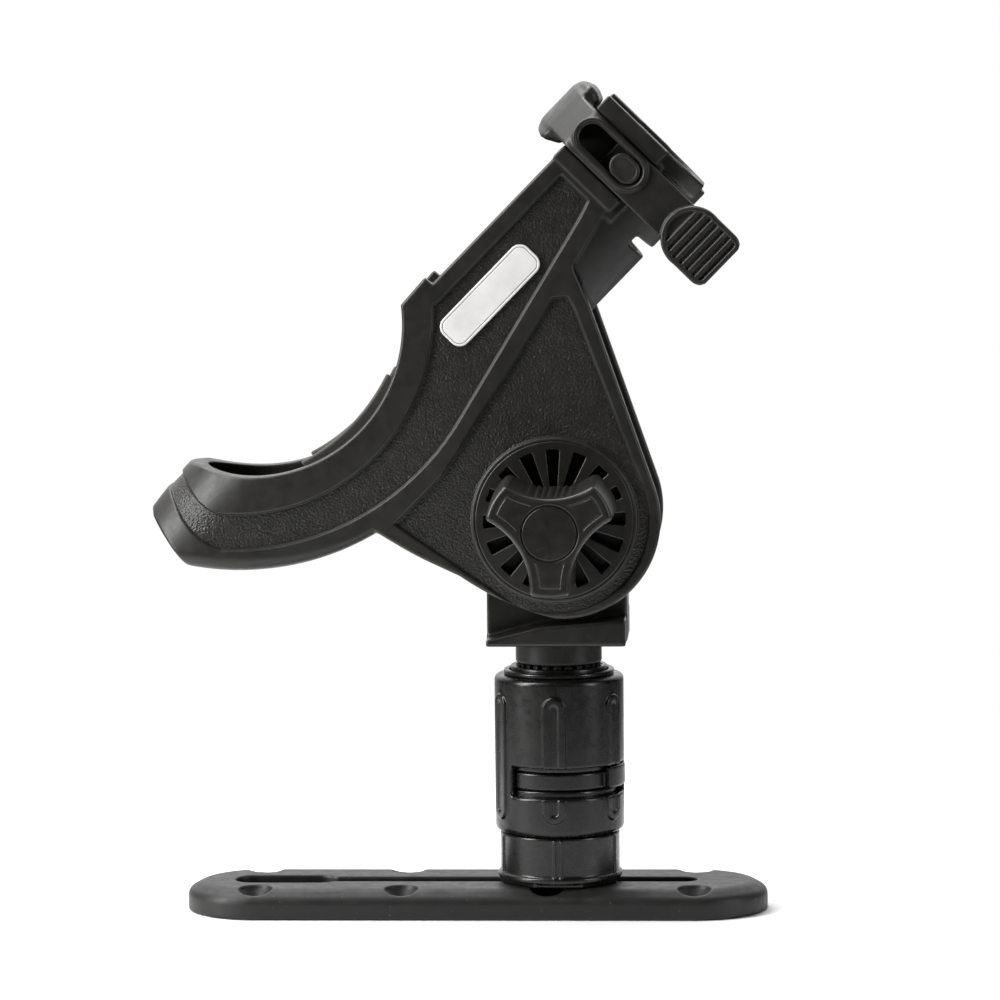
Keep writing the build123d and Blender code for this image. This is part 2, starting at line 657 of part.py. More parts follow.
def make_tilt_knob():
    sketch = Pos(0, -KNOB_LOBE_BACK, 0) * (Plane.XZ * knob_outline())
    lobes = extrude(sketch, amount=KNOB_FACE - KNOB_LOBE_BACK, taper=KNOB_DRAFT)
    front = lobes.faces().sort_by(Axis.Y)[0]
    lobes = fillet(front.edges(), 2.0)
    knob = lobes + rod(HUB_RADIUS, -KNOB_LOBE_BACK, -KNOB_BACK)
    nut = RegularPolygon(NUT_HALF + 0.05, 6, major_radius=False)
    knob -= prism(nut, -NUT_POCKET, -KNOB_BACK)
    knob -= rod(BOLT_RADIUS + 0.2, -BOLT_END - 2, -KNOB_BACK)
    groove = rod(9.6, -KNOB_FACE - 1, -KNOB_FACE + 0.6) - rod(9.1, -KNOB_FACE - 2, -KNOB_FACE + 2)
    return knob - groove


def make_knob_nut():
    nut = prism(RegularPolygon(NUT_HALF - 0.05, 6, major_radius=False), -NUT_POCKET + 0.1, -KNOB_BACK)
    return nut - rod(BOLT_RADIUS + 0.05, -60, 0)


# ---- Assembly: every piece goes to its place and is written out ----

axis = Pos(AXIS_X, 0, 0)
pivot = Pos(*PIVOT)
holder = Pos(*PIVOT) * Rot(0, -TUBE_ANGLE, 0)

save(make_track_rail(), "track_rail")
save(axis * make_slide_foot(), "slide_foot")
save(axis * make_clamp_stud(), "clamp_stud")
save(axis * make_stud_washer(), "stud_washer")
save(axis * make_stud_nut(), "stud_nut")
save(axis * make_adapter_base(), "adapter_base")
save(axis * make_grip_sleeve(), "grip_sleeve")
save(axis * make_sleeve_collar(), "sleeve_collar")
save(axis * make_lock_ring(), "lock_ring")
save(axis * make_gear_socket(), "gear_socket")
save(axis * make_snap_ring(), "socket_snap_ring")
save(axis * make_post_bracket(), "post_bracket")
save(axis * make_pivot_bush(), "pivot_bush")
save(axis * make_tongue_teeth(-1), "bracket_tooth_ring_near")
save(axis * make_tongue_teeth(1), "bracket_tooth_ring_far")

near_disc = make_clamp_disc()
near_label = make_label_plate()
near_boss = make_gate_boss()
save(holder * make_holder_body(), "holder_body")
save(holder * near_disc, "clamp_disc_near")
save(holder * mirror(near_disc, about=Plane.XZ), "clamp_disc_far")
save(holder * make_ear_teeth(-1), "holder_tooth_ring_near")
save(holder * make_ear_teeth(1), "holder_tooth_ring_far")
save(holder * make_cradle_liner(), "cradle_liner")
save(holder * near_label, "label_plate_near")
save(holder * mirror(near_label, about=Plane.XZ), "label_plate_far")
save(holder * near_boss, "gate_boss_near")
save(holder * mirror(near_boss, about=Plane.XZ), "gate_boss_far")
save(holder * make_lock_gate(), "lock_gate")

save(pivot * make_tilt_bolt(), "tilt_bolt")
save(pivot * make_washer(DISC_FACE, BOLT_HEAD_SEAT), "bolt_washer_far")
save(pivot * make_washer(-KNOB_BACK + 0.1, -DISC_FACE), "knob_washer")
save(pivot * make_tilt_knob(), "tilt_knob")
save(pivot * make_knob_nut(), "knob_nut")
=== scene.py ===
import math

import bpy
import numpy as np
from mathutils import Matrix, Vector


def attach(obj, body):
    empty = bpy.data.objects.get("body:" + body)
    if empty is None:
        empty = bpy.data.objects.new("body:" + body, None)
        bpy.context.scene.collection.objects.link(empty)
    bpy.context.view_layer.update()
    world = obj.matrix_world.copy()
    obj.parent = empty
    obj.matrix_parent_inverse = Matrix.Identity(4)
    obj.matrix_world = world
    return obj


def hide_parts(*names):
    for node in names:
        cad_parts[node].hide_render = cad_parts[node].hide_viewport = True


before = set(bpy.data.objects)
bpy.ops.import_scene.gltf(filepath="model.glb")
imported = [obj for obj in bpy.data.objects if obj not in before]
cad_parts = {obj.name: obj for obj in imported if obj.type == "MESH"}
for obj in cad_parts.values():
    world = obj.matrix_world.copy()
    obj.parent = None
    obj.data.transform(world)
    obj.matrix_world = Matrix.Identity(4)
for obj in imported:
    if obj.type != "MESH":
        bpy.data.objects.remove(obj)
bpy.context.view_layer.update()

# Every moulded piece is a signed distance in millimetres, below zero inside it, and is meshed from
# that, so that its edges are really rounded. Meshes are in metres, in the frame of the CAD.
MM = 0.001
MOST_TRIANGLES = 170_000
COARSE = 1.0

# The frames that pieces are drawn in
AXIS_X = 29.2
PIVOT_Z = 139.0
TUBE_ANGLE = 45.5
ROW = Matrix.Identity(4)
AXIS = Matrix.Translation((AXIS_X * MM, 0, 0))
PIVOT = Matrix.Translation((AXIS_X * MM, 0, PIVOT_Z * MM))
HOLDER = PIVOT @ Matrix.Rotation(math.radians(-TUBE_ANGLE), 4, "Y")

# Track
TRACK_LENGTH = 203.2
TRACK_WIDTH = 50.8
TRACK_HEIGHT = 10.0
TRACK_EDGE_HEIGHT = 7.0
TRACK_BEVEL_WIDTH = 5.4
SCREW_PITCH_X = 50.8
SCREW_ROW_Y = 18.0
SCREW_BORE = 2.75
SCREW_HEAD = 5.8
SLOT_HALF = 4.5
UNDERCUT_HALF = 7.2
SLOT_LEFT = -85.0
SLOT_RIGHT = 77.0
DROP_IN_END = -48.7
SLOT_FLOOR = 2.0
LIP_UNDERSIDE = 6.5
UNDERCUT_PAST_SLOT = 2.7
SLOT_OVERLAP = 10.0
SINK_DEPTH = 1.0
SCREW_COLUMNS = (-1.5, -0.5, 0.5, 1.5)

# Adapter
ADAPTER_BOTTOM = 10.1
FLATS_TOP = 12.0
FLANGE_TOP = 13.6
FLANGE_RADIUS = 21.7
FLAT_INSET = 1.8
FLAT_SIDES = 8
STUD_BORE = 4.2
NECK_RADIUS = 20.85
NECK_TOP = 27.6
NECK_RIB_REACH = 21.5
NECK_RIB_ROOT = 18.0
NECK_RIB_HALF = 0.4
# The neck's thin ribs: turn from the front in degrees, and offset
NECK_RIBS = ((-67.5, 0), (0, -1.15), (0, 1.15), (67.5, 0))
CORE_RADIUS = 19.8
CORE_TOP = 80.2
CORE_BORE = 14.3
BORE_FLOOR = 31.0
HEAD_SEAT = 72.0
HEAD_CLEARANCE = 0.3
WAIST_CLEARANCE = 0.5
NUT_WELL_RADIUS = 10.0
NUT_WELL_FLOOR = 16.5
WAIST_RADIUS = 18.4
SLEEVE_RADIUS = 22.5
SLEEVE_BORE = 20.2
SLEEVE_BOTTOM = 28.1
SLEEVE_TOP = 82.8
SLEEVE_LIP_BOTTOM = 80.6
SLEEVE_LIP_BORE = 17.3
COLLAR_RADIUS = 19.2
COLLAR_TOP = 84.6
RIB_COUNT = 6
RIB_BOTTOM = 33.0
RIB_TOP = 77.0
RIB_HALF = 4.0
RIB_REACH = 23.1
RIB_TURN = -2.5
RIB_ROOT_DEPTH = 1.5
RIB_GROOVE_INSET = 2.6
RIB_GROOVE_DEPTH = 0.4
WINDOW_BOTTOM = 41.7
WINDOW_TOP = 52.1
WINDOW_START = -47.0
WINDOW_END = 90.0
RING_BOTTOM = 44.2
RING_TOP = 49.9
RING_OUTER = 19.9
RING_INNER = 18.7
TAB_START = 53.0
TAB_END = 88.0
TAB_RADIUS = 22.9
TAB_TOP_CLEARANCE = 0.4
RING_SPLIT_HALF = 2.0

# Splined post and its bracket
SPLINE_TEETH = 24
SPLINE_TIP = 14.5
SPLINE_ROOT = 13.2
SPLINE_BOTTOM = 76.0
SPLINE_TOP = 86.9
TOOTH_HALF = 0.85
TOOTH_GAP_HALF = 1.15
SPLINE_CLEARANCE = 0.4
POST_RADIUS = 11.0
POST_BOTTOM = 40.0
POST_GROOVE_RADIUS = 9.4
SHAFT_RADIUS = 15.0
HEAD_RADIUS = 16.9
HEAD_TOP = 85.9
SOCKET_BOTTOM = 34.0
SPLINE_HOLE_BOTTOM = 74.6
PLATE_BOTTOM = 95.1
PLATE_TOP = 104.4
PLATE_HALF_WIDTH = 24.2
PLATE_HALF_DEPTH = 25.0
PLATE_RIDGE = ((-5.2, 102.0), (-PLATE_HALF_WIDTH, 97.2))
TONGUE_HALF = 13.6
TONGUE_BORE = 5.6

# Holder
TUBE_AXIS = 63.2
TUBE_RADIUS = 22.75
CHANNEL_RADIUS = 20.0
WALL_FACE = 26.0
FIELD_DEPTH = 1.3
WALL_TOP = 86.2
EAR_INNER = 19.0
CAVITY_HALF = 20.4
TROUGH_CENTRE = (-22.5, 130.0)
TROUGH_RADIUS = 92.5
TROUGH_WALL = 3.5
LIP_INNER_CENTRE = (-24.7, 122.0)
LIP_INNER_RADIUS = 52.7
LIP_OUTER_CENTRE = (-26.4, 127.4)
LIP_OUTER_RADIUS = 68.2
BAND_CENTRE = (-19.5, 136.9)
BAND_RADIUS = 92.2
END_FACE = 104.5
UNDERSIDE_ROUND = 5.0
UNDERSIDE_ROUND_LOW = 3.0
TROUGH_SPLIT = -46.0
TUBE_START = -20.0
TUBE_END = 115.0
CHANNEL_START = -60.0
HOLLOW_SPAN = (-97.5, 9.0)
GAP_TOP = 56.0
GAP_RIGHT = 90.0
RAIL_SPAN = (88.7, 94.2)
RAIL_FACE = 29.5
STOP_LEFT = 110.8
STOP_RIGHT = 117.0
SEAT_FACE = 25.2
SEAT_FLANGE = 23.8
NOTCH_SPAN = (84.7, 88.9)
NOTCH_HALF = 17.5
NOTCH_TOP = 47.4
BOSS_RADIUS = 28.5
BOLT_BORE = 4.3
FIELD_RADIUS = 32.4
DISC_RADIUS = 27.2
DISC_FACE = 27.2
DISC_BACK = 20.8
SLOT_COUNT = 16
DISC_SLOT_SPAN = (11.3, 24.3)
DISC_SLOT_HALF = 1.3
DISC_SLOT_FLARE = 13.0
DISC_SLOT_TURN = 44.5
DISC_WEB = 1.2
LABEL_MIDDLE = (39.9, 69.3)
LABEL_LENGTH = 41.6
LABEL_WIDTH = 11.8
LABEL_CORNER = 4.0
LABEL_FACE_DROP = 0.3
LINER_OUTER = 19.6
LINER_INNER = 16.8
LINER_SPAN = (-47.5, -4.5)
LINER_TOP_CENTRE = (-25.8, 140.6)
LINER_TOP_RADIUS = 67.8

# Lock gate
GATE_LEFT = 94.6
GATE_RIGHT = 110.4
GATE_MIDDLE = 103.0
GATE_SLOT_LOW = 60.5
GATE_SLOT_HIGH = 86.0
GATE_SLOT_HALF = 4.6
GATE_FACE = 30.6
GATE_INNER = 25.8
GATE_ROOF = 88.5
ARCH_CENTRE = 54.1
ARCH_RADIUS = 44.2
GATE_TOP = 98.3
TAB_HALF = 19.0
SKIRT_INNER = 17.4
SKIRT_LOW = 73.0
PADDLE_BACK = 30.4
PADDLE_FACE = 36.0
PADDLE_RIM = 1.7
PADDLE_PAN = 1.0
PADDLE_RIBS = 6
PADDLE_RIB_PITCH = 3.0
PADDLE_FIRST_RIB = 23.4
STUD_MIDDLE = 66.3
STUD_HALF = 5.6
STUD_FACE = 31.6

# Knob
LOBE_REACH = 21.8
LOBE_CORNER = 21.2
LOBE_HALF = 6.5
LOBE_ROUND = 1.6
KNOB_DRAFT = 0.95
KNOB_WAIST = 11.6
KNOB_BACK = 28.6
KNOB_LOBE_BACK = 34.5
KNOB_FACE = 70.0
HUB_RADIUS = 12.0
RING_LINE_RADIUS = 9.35
LOBE_LINE_INSET = 3.1
LOBE_LINE_INNER = 11.2
NUT_FRONT = 35.2
BOLT_END = 56.0
BOLT_RADIUS = 4.0
BOLT_HEAD_SPAN = (28.9, 34.1)
HEX_FLAT = 6.5
WASHER_RADIUS = 9.5


# ---- Signed distances ----


def meet(a, b, radius):
    """What is inside both, with its outer edge rounded."""
    corner = np.hypot(np.maximum(a + radius, 0), np.maximum(b + radius, 0))
    return np.minimum(np.maximum(a, b), -radius) + corner


def join(a, b, radius):
    """What is inside either, with its inner corner rounded."""
    corner = np.hypot(np.maximum(radius - a, 0), np.maximum(radius - b, 0))
    return np.maximum(np.minimum(a, b), radius) - corner


def cut(a, b, radius):
    """The first without the second, with a rounded rim."""
    return meet(a, -b, radius)


def between(value, low, high):
    return np.maximum(low - value, value - high)


def brick(x, y, z, x_span, y_span, z_span, radius):
    """A box with rounded edges."""
    sizes = []
    for value, (low, high) in ((x, x_span), (y, y_span), (z, z_span)):
        sizes.append(np.abs(value - (low + high) / 2) - (high - low) / 2 + radius)
    outside = np.sqrt(sum(np.maximum(size, 0) ** 2 for size in sizes))
    inside = np.minimum(np.maximum(np.maximum(sizes[0], sizes[1]), sizes[2]), 0)
    return outside + inside - radius


def stadium(a, b, low, high, half):
    """A slot along a, with round ends."""
    along = np.maximum(np.abs(a - (low + high) / 2) - (high - low) / 2 + half, 0)
    return np.hypot(along, b) - half


def polygon(points, x, z):
    """Signed distance to a closed outline."""
    x, z = np.broadcast_arrays(x, z)
    nearest = np.full(x.shape, 1e12)
    inside = np.zeros(x.shape, bool)
    for (ax, az), (bx, bz) in zip(points, points[1:] + points[:1]):
        ex, ez = bx - ax, bz - az
        length = ex * ex + ez * ez
        if length < 1e-12:
            continue
        share = np.clip(((x - ax) * ex + (z - az) * ez) / length, 0, 1)
        nearest = np.minimum(nearest, (x - ax - ex * share) ** 2 + (z - az - ez * share) ** 2)
        if az != bz:
            inside ^= ((az > z) != (bz > z)) & (x < ax + (z - az) * ex / ez)
    return np.sqrt(nearest) * np.where(inside, -1, 1)


def regular(a, b, flat, sides, turn=0.0):
    """A regular polygon by its distance from centre to flat."""
    faces = [math.tau * k / sides + turn for k in range(sides)]
    result = a * math.cos(faces[0]) + b * math.sin(faces[0])
    for face in faces[1:]:
        result = np.maximum(result, a * math.cos(face) + b * math.sin(face))
    return result - flat


def on_circle(centre, radius, x):
    """The point of a circle's lower half at x."""
    return (x, centre[1] - math.sqrt(radius**2 - (x - centre[0]) ** 2))


def lower_arc(centre, radius, x_start, x_end, count=48):
    steps = [x_start + (x_end - x_start) * k / count for k in range(count + 1)]
    return [on_circle(centre, radius, x) for x in steps]


def arc(start, middle, end, count=32):
    """Points of the arc through three points."""
    (ax, az), (bx, bz), (cx, cz) = start, middle, end
    twice = 2 * (ax * (bz - cz) + bx * (cz - az) + cx * (az - bz))
    squares = [px * px + pz * pz for px, pz in (start, middle, end)]
    ox = (squares[0] * (bz - cz) + squares[1] * (cz - az) + squares[2] * (az - bz)) / twice
    oz = (squares[0] * (cx - bx) + squares[1] * (ax - cx) + squares[2] * (bx - ax)) / twice
    radius = math.hypot(ax - ox, az - oz)
    first, second, last = (math.atan2(pz - oz, px - ox) for px, pz in (start, middle, end))
    sweep = (last - first) % math.tau
    if (second - first) % math.tau > sweep:
        sweep -= math.tau
    angles = [first + sweep * k / count for k in range(count + 1)]
    return [(ox + radius * math.cos(a), oz + radius * math.sin(a)) for a in angles]


# ---- Meshing ----


def sample(values, low, step, points):
    """The distance at points, read between the grid's values."""
    where = (points - low) / step
    corner = np.clip(where.astype(int), 0, np.array(values.shape) - 2)
    part = np.clip(where - corner, 0, 1)
    total = np.zeros(len(points))
    for i in (0, 1):
        for j in (0, 1):
            for k in (0, 1):
                weight = np.abs(1 - i - part[:, 0]) * np.abs(1 - j - part[:, 1])
                weight = weight * np.abs(1 - k - part[:, 2])
                total += weight * values[corner[:, 0] + i, corner[:, 1] + j, corner[:, 2] + k]
    return total


def slope(values, low, step, points, reach):
    """The direction of growing distance, and how sharply the surface bends."""
    centre = sample(values, low, step, points)
    rise = np.zeros_like(points)
    bend = -6 * centre
    for a in range(3):
        offset = np.zeros(3)
        offset[a] = reach
        ahead = sample(values, low, step, points + offset)
        behind = sample(values, low, step, points - offset)
        rise[:, a] = (ahead - behind) / (2 * reach)
        bend += ahead + behind
    return centre, rise, bend / reach**2


def surface_net(values, low, step):
    """Points and quads of the surface where the distance is zero."""
    inside = values < 0
    shape = np.array(values.shape) - 1
    count = np.zeros(shape, np.int8)
    for i in (0, 1):
        for j in (0, 1):
            for k in (0, 1):
                count += inside[i : shape[0] + i, j : shape[1] + j, k : shape[2] + k]
    active = (count > 0) & (count < 8)
    cells = np.argwhere(active)
    number = np.full(shape, -1, np.int32)
    number[active] = np.arange(len(cells))
    total = np.zeros((len(cells), 3))
    found = np.zeros(len(cells))
    for a in range(3):
        others = [b for b in range(3) if b != a]
        for p in (0, 1):
            for q in (0, 1):
                start = cells.copy()
                start[:, others[0]] += p
                start[:, others[1]] += q
                end = start.copy()
                end[:, a] += 1
                near = values[start[:, 0], start[:, 1], start[:, 2]]
                far = values[end[:, 0], end[:, 1], end[:, 2]]
                crosses = (near < 0) != (far < 0)
                share = near[crosses] / (near[crosses] - far[crosses])
                point = start[crosses].astype(float)
                point[:, a] += share
                total[crosses] += point
                found[crosses] += 1
    points = low + step * total / found[:, None]
    quads = []
    for a in range(3):
        b, c = (a + 1) % 3, (a + 2) % 3
        near = [slice(1, -1)] * 3
        near[a] = slice(0, -1)
        far = list(near)
        far[a] = slice(1, None)
        first, second = inside[tuple(near)], inside[tuple(far)]
        spots = np.argwhere(first != second)
        outward = first[tuple(spots.T)]
        spots[:, b] += 1
        spots[:, c] += 1
        corners = []
        for back_b, back_c in ((1, 1), (0, 1), (0, 0), (1, 0)):
            cell = spots.copy()
            cell[:, b] -= back_b
            cell[:, c] -= back_c
            corners.append(number[tuple(cell.T)])
        quad = np.stack(corners, 1)
        quads.append(np.where(outward[:, None], quad, quad[:, ::-1]))
    return points, np.concatenate(quads)


def make_mesh(name, points, quads):
    mesh = bpy.data.meshes.new(name)
    mesh.vertices.add(len(points))
    mesh.vertices.foreach_set("co", points.astype(np.float32).ravel())
    mesh.loops.add(quads.size)
    mesh.loops.foreach_set("vertex_index", quads.astype(np.int32).ravel())
    mesh.polygons.add(len(quads))
    mesh.polygons.foreach_set("loop_start", np.arange(0, quads.size, 4, dtype=np.int32))
    mesh.polygons.foreach_set("loop_total", np.full(len(quads), 4, np.int32))
    mesh.update(calc_edges=True)
    mesh.validate()
    return mesh


def positions(mesh):
    found = np.zeros(len(mesh.vertices) * 3, np.float32)
    mesh.vertices.foreach_get("co", found)
    return found.reshape(-1, 3).astype(float)


def put(mesh, name, values):
    layer = mesh.attributes.new(name, "FLOAT", "POINT")
    layer.data.foreach_set("value", values.astype(np.float32))


def about_z(radius, low, high):
    """The box of a round piece that stands upright."""
    return (-radius, -radius, low), (radius, radius, high)


def about_y(radius, low, high):
    """The box of a round piece that lies from front to back."""
    return (-radius, low, -radius), (radius, high, radius)


def mould(name, shape, box, step, place, body, finish, nodes, grain=None):
    """Makes one moulded piece from its signed distance and puts it in place of its CAD nodes."""
    step = step * COARSE
    margin = 1.5 * step
    low = np.array(box[0], float) - margin
    high = np.array(box[1], float) + margin
    counts = [int(math.ceil((high[a] - low[a]) / step)) + 1 for a in range(3)]
    lines = [low[a] + step * np.arange(counts[a]) for a in range(3)]
    values = shape(lines[0][:, None, None], lines[1][None, :, None], lines[2][None, None, :])
    values = np.ascontiguousarray(np.broadcast_to(values, counts), np.float32)
    points, quads = surface_net(values, low, step)
    mesh = make_mesh(name, points, quads)
    piece = bpy.data.objects.new(name, mesh)
    bpy.context.scene.collection.objects.link(piece)
    if 2 * len(quads) > MOST_TRIANGLES:
        thin = piece.modifiers.new("thin", "DECIMATE")
        thin.ratio = MOST_TRIANGLES / (2 * len(quads))
        graph = bpy.context.evaluated_depsgraph_get()
        thinned = bpy.data.meshes.new_from_object(piece.evaluated_get(graph))
        piece.modifiers.clear()
        piece.data = thinned
        mesh = thinned
    points = positions(mesh)
    for _ in range(2):
        distance, rise, _ = slope(values, low, step, points, 0.5 * step)
        size = np.maximum((rise**2).sum(1), 0.25)[:, None]
        points -= np.clip(distance, -step, step)[:, None] * rise / size
    _, rise, bend = slope(values, low, step, points, 0.8 * step)
    normals = rise / np.maximum(np.linalg.norm(rise, axis=1), 1e-6)[:, None]
    mesh.vertices.foreach_set("co", (points * MM).astype(np.float32).ravel())
    put(mesh, "edge", np.clip(bend, -1.5, 1.5))
    if grain is not None:
        put(mesh, "grain", grain(points[:, 0], points[:, 1], points[:, 2]))
    mesh.transform(place)
    mesh.update()
    mesh.shade_smooth()
    turned = normals @ np.array(place.to_3x3()).T
    mesh.normals_split_custom_set_from_vertices(turned)
    mesh.materials.append(finishes[finish])
    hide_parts(*nodes)
    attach(piece, body)
    print(f"{name}: {len(mesh.polygons)} faces")


# ---- Shapes ----


def track_shape(x, y, z):
    edge = stadium(x, y, -TRACK_LENGTH / 2, TRACK_LENGTH / 2, TRACK_WIDTH / 2)
    rise = TRACK_HEIGHT - TRACK_EDGE_HEIGHT
    length = math.hypot(rise, TRACK_BEVEL_WIDTH)
    bevel = (edge * rise + (z - TRACK_EDGE_HEIGHT) * TRACK_BEVEL_WIDTH) / length
    rail = meet(meet(edge, bevel, 1.6), z - TRACK_HEIGHT, 0.8)
    rail = meet(rail, -z, 0.5)
    narrow = stadium(x, y, DROP_IN_END - SLOT_OVERLAP, SLOT_RIGHT, SLOT_HALF)
    wide = stadium(x, y, SLOT_LEFT, DROP_IN_END, UNDERCUT_HALF)
    undercut = stadium(x, y, SLOT_LEFT, SLOT_RIGHT + UNDERCUT_PAST_SLOT, UNDERCUT_HALF)
    rail = cut(rail, np.maximum(join(narrow, wide, 1.0), SLOT_FLOOR - z), 0.7)
    rail = cut(rail, np.maximum(undercut, between(z, SLOT_FLOOR, LIP_UNDERSIDE)), 0.3)
    for column in SCREW_COLUMNS:
        for side in (-1, 1):
            r = np.hypot(x - column * SCREW_PITCH_X, y - side * SCREW_ROW_Y)
            shoulder = TRACK_HEIGHT - SINK_DEPTH - (SCREW_HEAD - SCREW_BORE)
            cone = (r - SCREW_BORE - (z - shoulder)) * math.sqrt(0.5)
            sink = np.maximum(cone, r - SCREW_HEAD)
            rail = cut(rail, np.minimum(r - SCREW_BORE, sink), 0.5)
    return rail


def adapter_shape(x, y, z):
    r = np.hypot(x, y)
    flats = regular(x, y, FLANGE_RADIUS - FLAT_INSET, FLAT_SIDES)
    base = meet(flats, between(z, ADAPTER_BOTTOM, FLATS_TOP + 0.2), 0.5)
    base = np.minimum(base, meet(r - FLANGE_RADIUS, between(z, FLATS_TOP - 0.4, FLANGE_TOP), 0.5))
    base = join(base, meet(r - NECK_RADIUS, between(z, FLANGE_TOP - 0.6, NECK_TOP), 0.5), 0.6)
    core = np.maximum(r - CORE_RADIUS, between(z, 20, CORE_TOP))
    waist_span = between(z, RING_BOTTOM - WAIST_CLEARANCE, RING_TOP + WAIST_CLEARANCE)
    waist = np.maximum(WAIST_RADIUS - r, waist_span)
    base = np.minimum(base, meet(core, -waist, 0.3))
    for turn, offset in NECK_RIBS:
        a = math.radians(turn)
        along = x * math.sin(a) - y * math.cos(a)
        across = x * math.cos(a) + y * math.sin(a)
        sides = (offset - NECK_RIB_HALF, offset + NECK_RIB_HALF)
        heights = (FLANGE_TOP - 0.6, NECK_TOP - 0.8)
        line = brick(along, across, z, (NECK_RIB_ROOT, NECK_RIB_REACH), sides, heights, 0.3)
        base = join(base, line, 0.25)
    base = np.maximum(base, -np.maximum(r - HEAD_RADIUS - HEAD_CLEARANCE, HEAD_SEAT - z))
    base = np.maximum(base, -np.maximum(r - CORE_BORE, BORE_FLOOR - z))
    base = np.maximum(base, -np.maximum(r - NUT_WELL_RADIUS, NUT_WELL_FLOOR - z))
    return np.maximum(base, STUD_BORE - r)


def sleeve_shape(x, y, z):
    r = np.hypot(x, y)
    sleeve = meet(r - SLEEVE_RADIUS, between(z, SLEEVE_BOTTOM, SLEEVE_TOP), 1.9)
    root = SLEEVE_RADIUS - RIB_ROOT_DEPTH
    for index in range(RIB_COUNT):
        a = math.radians(RIB_TURN + index * 360 / RIB_COUNT)
        along = x * math.sin(a) - y * math.cos(a)
        across = x * math.cos(a) + y * math.sin(a)
        rib = stadium(z, across, RIB_BOTTOM, RIB_TOP, RIB_HALF)
        rib = meet(rib, np.abs(along - root) - (RIB_REACH - root), 0.55)
        inset = RIB_GROOVE_INSET
        groove = stadium(z, across, RIB_BOTTOM + inset, RIB_TOP - inset, RIB_HALF - inset)
        groove = meet(groove, RIB_REACH - RIB_GROOVE_DEPTH - along, 0.2)
        sleeve = join(sleeve, cut(rib, groove, 0.3), 0.25)
    sleeve = cut(sleeve, window_shape(x, y, z), 0.8)
    bore = np.minimum(np.maximum(r - SLEEVE_BORE, z - SLEEVE_LIP_BOTTOM), r - SLEEVE_LIP_BORE)
    return cut(sleeve, bore, 0.3)


def angle_from_front(x, y):
    return np.degrees(np.arctan2(x, -y))


def window_shape(x, y, z):
    """The opening of the grip sleeve, round its front."""
    middle = (WINDOW_START + WINDOW_END) / 2
    half = (WINDOW_END - WINDOW_START) / 2
    along = (np.abs(angle_from_front(x, y) - middle) - half) * math.tau * SLEEVE_RADIUS / 360
    return meet(along, between(z, WINDOW_BOTTOM, WINDOW_TOP), 1.2)


def collar_shape(x, y, z):
    r = np.hypot(x, y)
    collar = meet(r - COLLAR_RADIUS, between(z, SLEEVE_TOP, COLLAR_TOP), 0.6)
    return meet(collar, SLEEVE_LIP_BORE - r, 0.4)


def lock_ring_shape(x, y, z):
    r = np.hypot(x, y)
    ring = meet(r - RING_OUTER, between(z, RING_BOTTOM, RING_TOP), 0.5)
    ring = np.maximum(ring, RING_INNER - r)
    ring = np.maximum(ring, -np.maximum(np.abs(x) - RING_SPLIT_HALF, RING_INNER / 2 - y))
    middle, half = (TAB_START + TAB_END) / 2, (TAB_END - TAB_START) / 2
    along = (np.abs(angle_from_front(x, y) - middle) - half) * math.tau * RING_OUTER / 360
    tab = meet(meet(along, r - TAB_RADIUS, 0.6), between(z, RING_BOTTOM, WINDOW_TOP - TAB_TOP_CLEARANCE), 0.6)
    tab = np.maximum(tab, RING_INNER + 0.2 - r)
    tab = cut(tab, np.maximum(r - SLEEVE_BORE - 0.3, RING_TOP - z), 0.3)
    return join(ring, tab, 0.4)


def spline_shape(x, y, z, root, tip, half, low, high):
    r = np.hypot(x, y)
    pitch = math.tau / SPLINE_TEETH
    turn = np.arctan2(y, x)
    across = r * np.sin(turn - pitch * np.round(turn / pitch))
    tooth = meet(np.abs(across) - half, r - tip, 0.3)
    return meet(np.minimum(r - root, tooth), between(z, low, high), 0.3)


def socket_shape(x, y, z):
    r = np.hypot(x, y)
    socket = np.maximum(r - CORE_BORE + HEAD_CLEARANCE, between(z, SOCKET_BOTTOM, HEAD_SEAT + 1))
    socket = np.minimum(socket, meet(r - HEAD_RADIUS, between(z, HEAD_SEAT + 0.4, HEAD_TOP), 0.5))
    gap = SPLINE_CLEARANCE
    socket = np.maximum(socket, -np.maximum(r - POST_RADIUS - gap, z - SPLINE_HOLE_BOTTOM - 0.4))
    root, tip = SPLINE_ROOT + gap, SPLINE_TIP + gap
    teeth = spline_shape(x, y, z, root, tip, TOOTH_GAP_HALF, SPLINE_HOLE_BOTTOM, HEAD_TOP + 3)
    return cut(socket, teeth, 0.25)


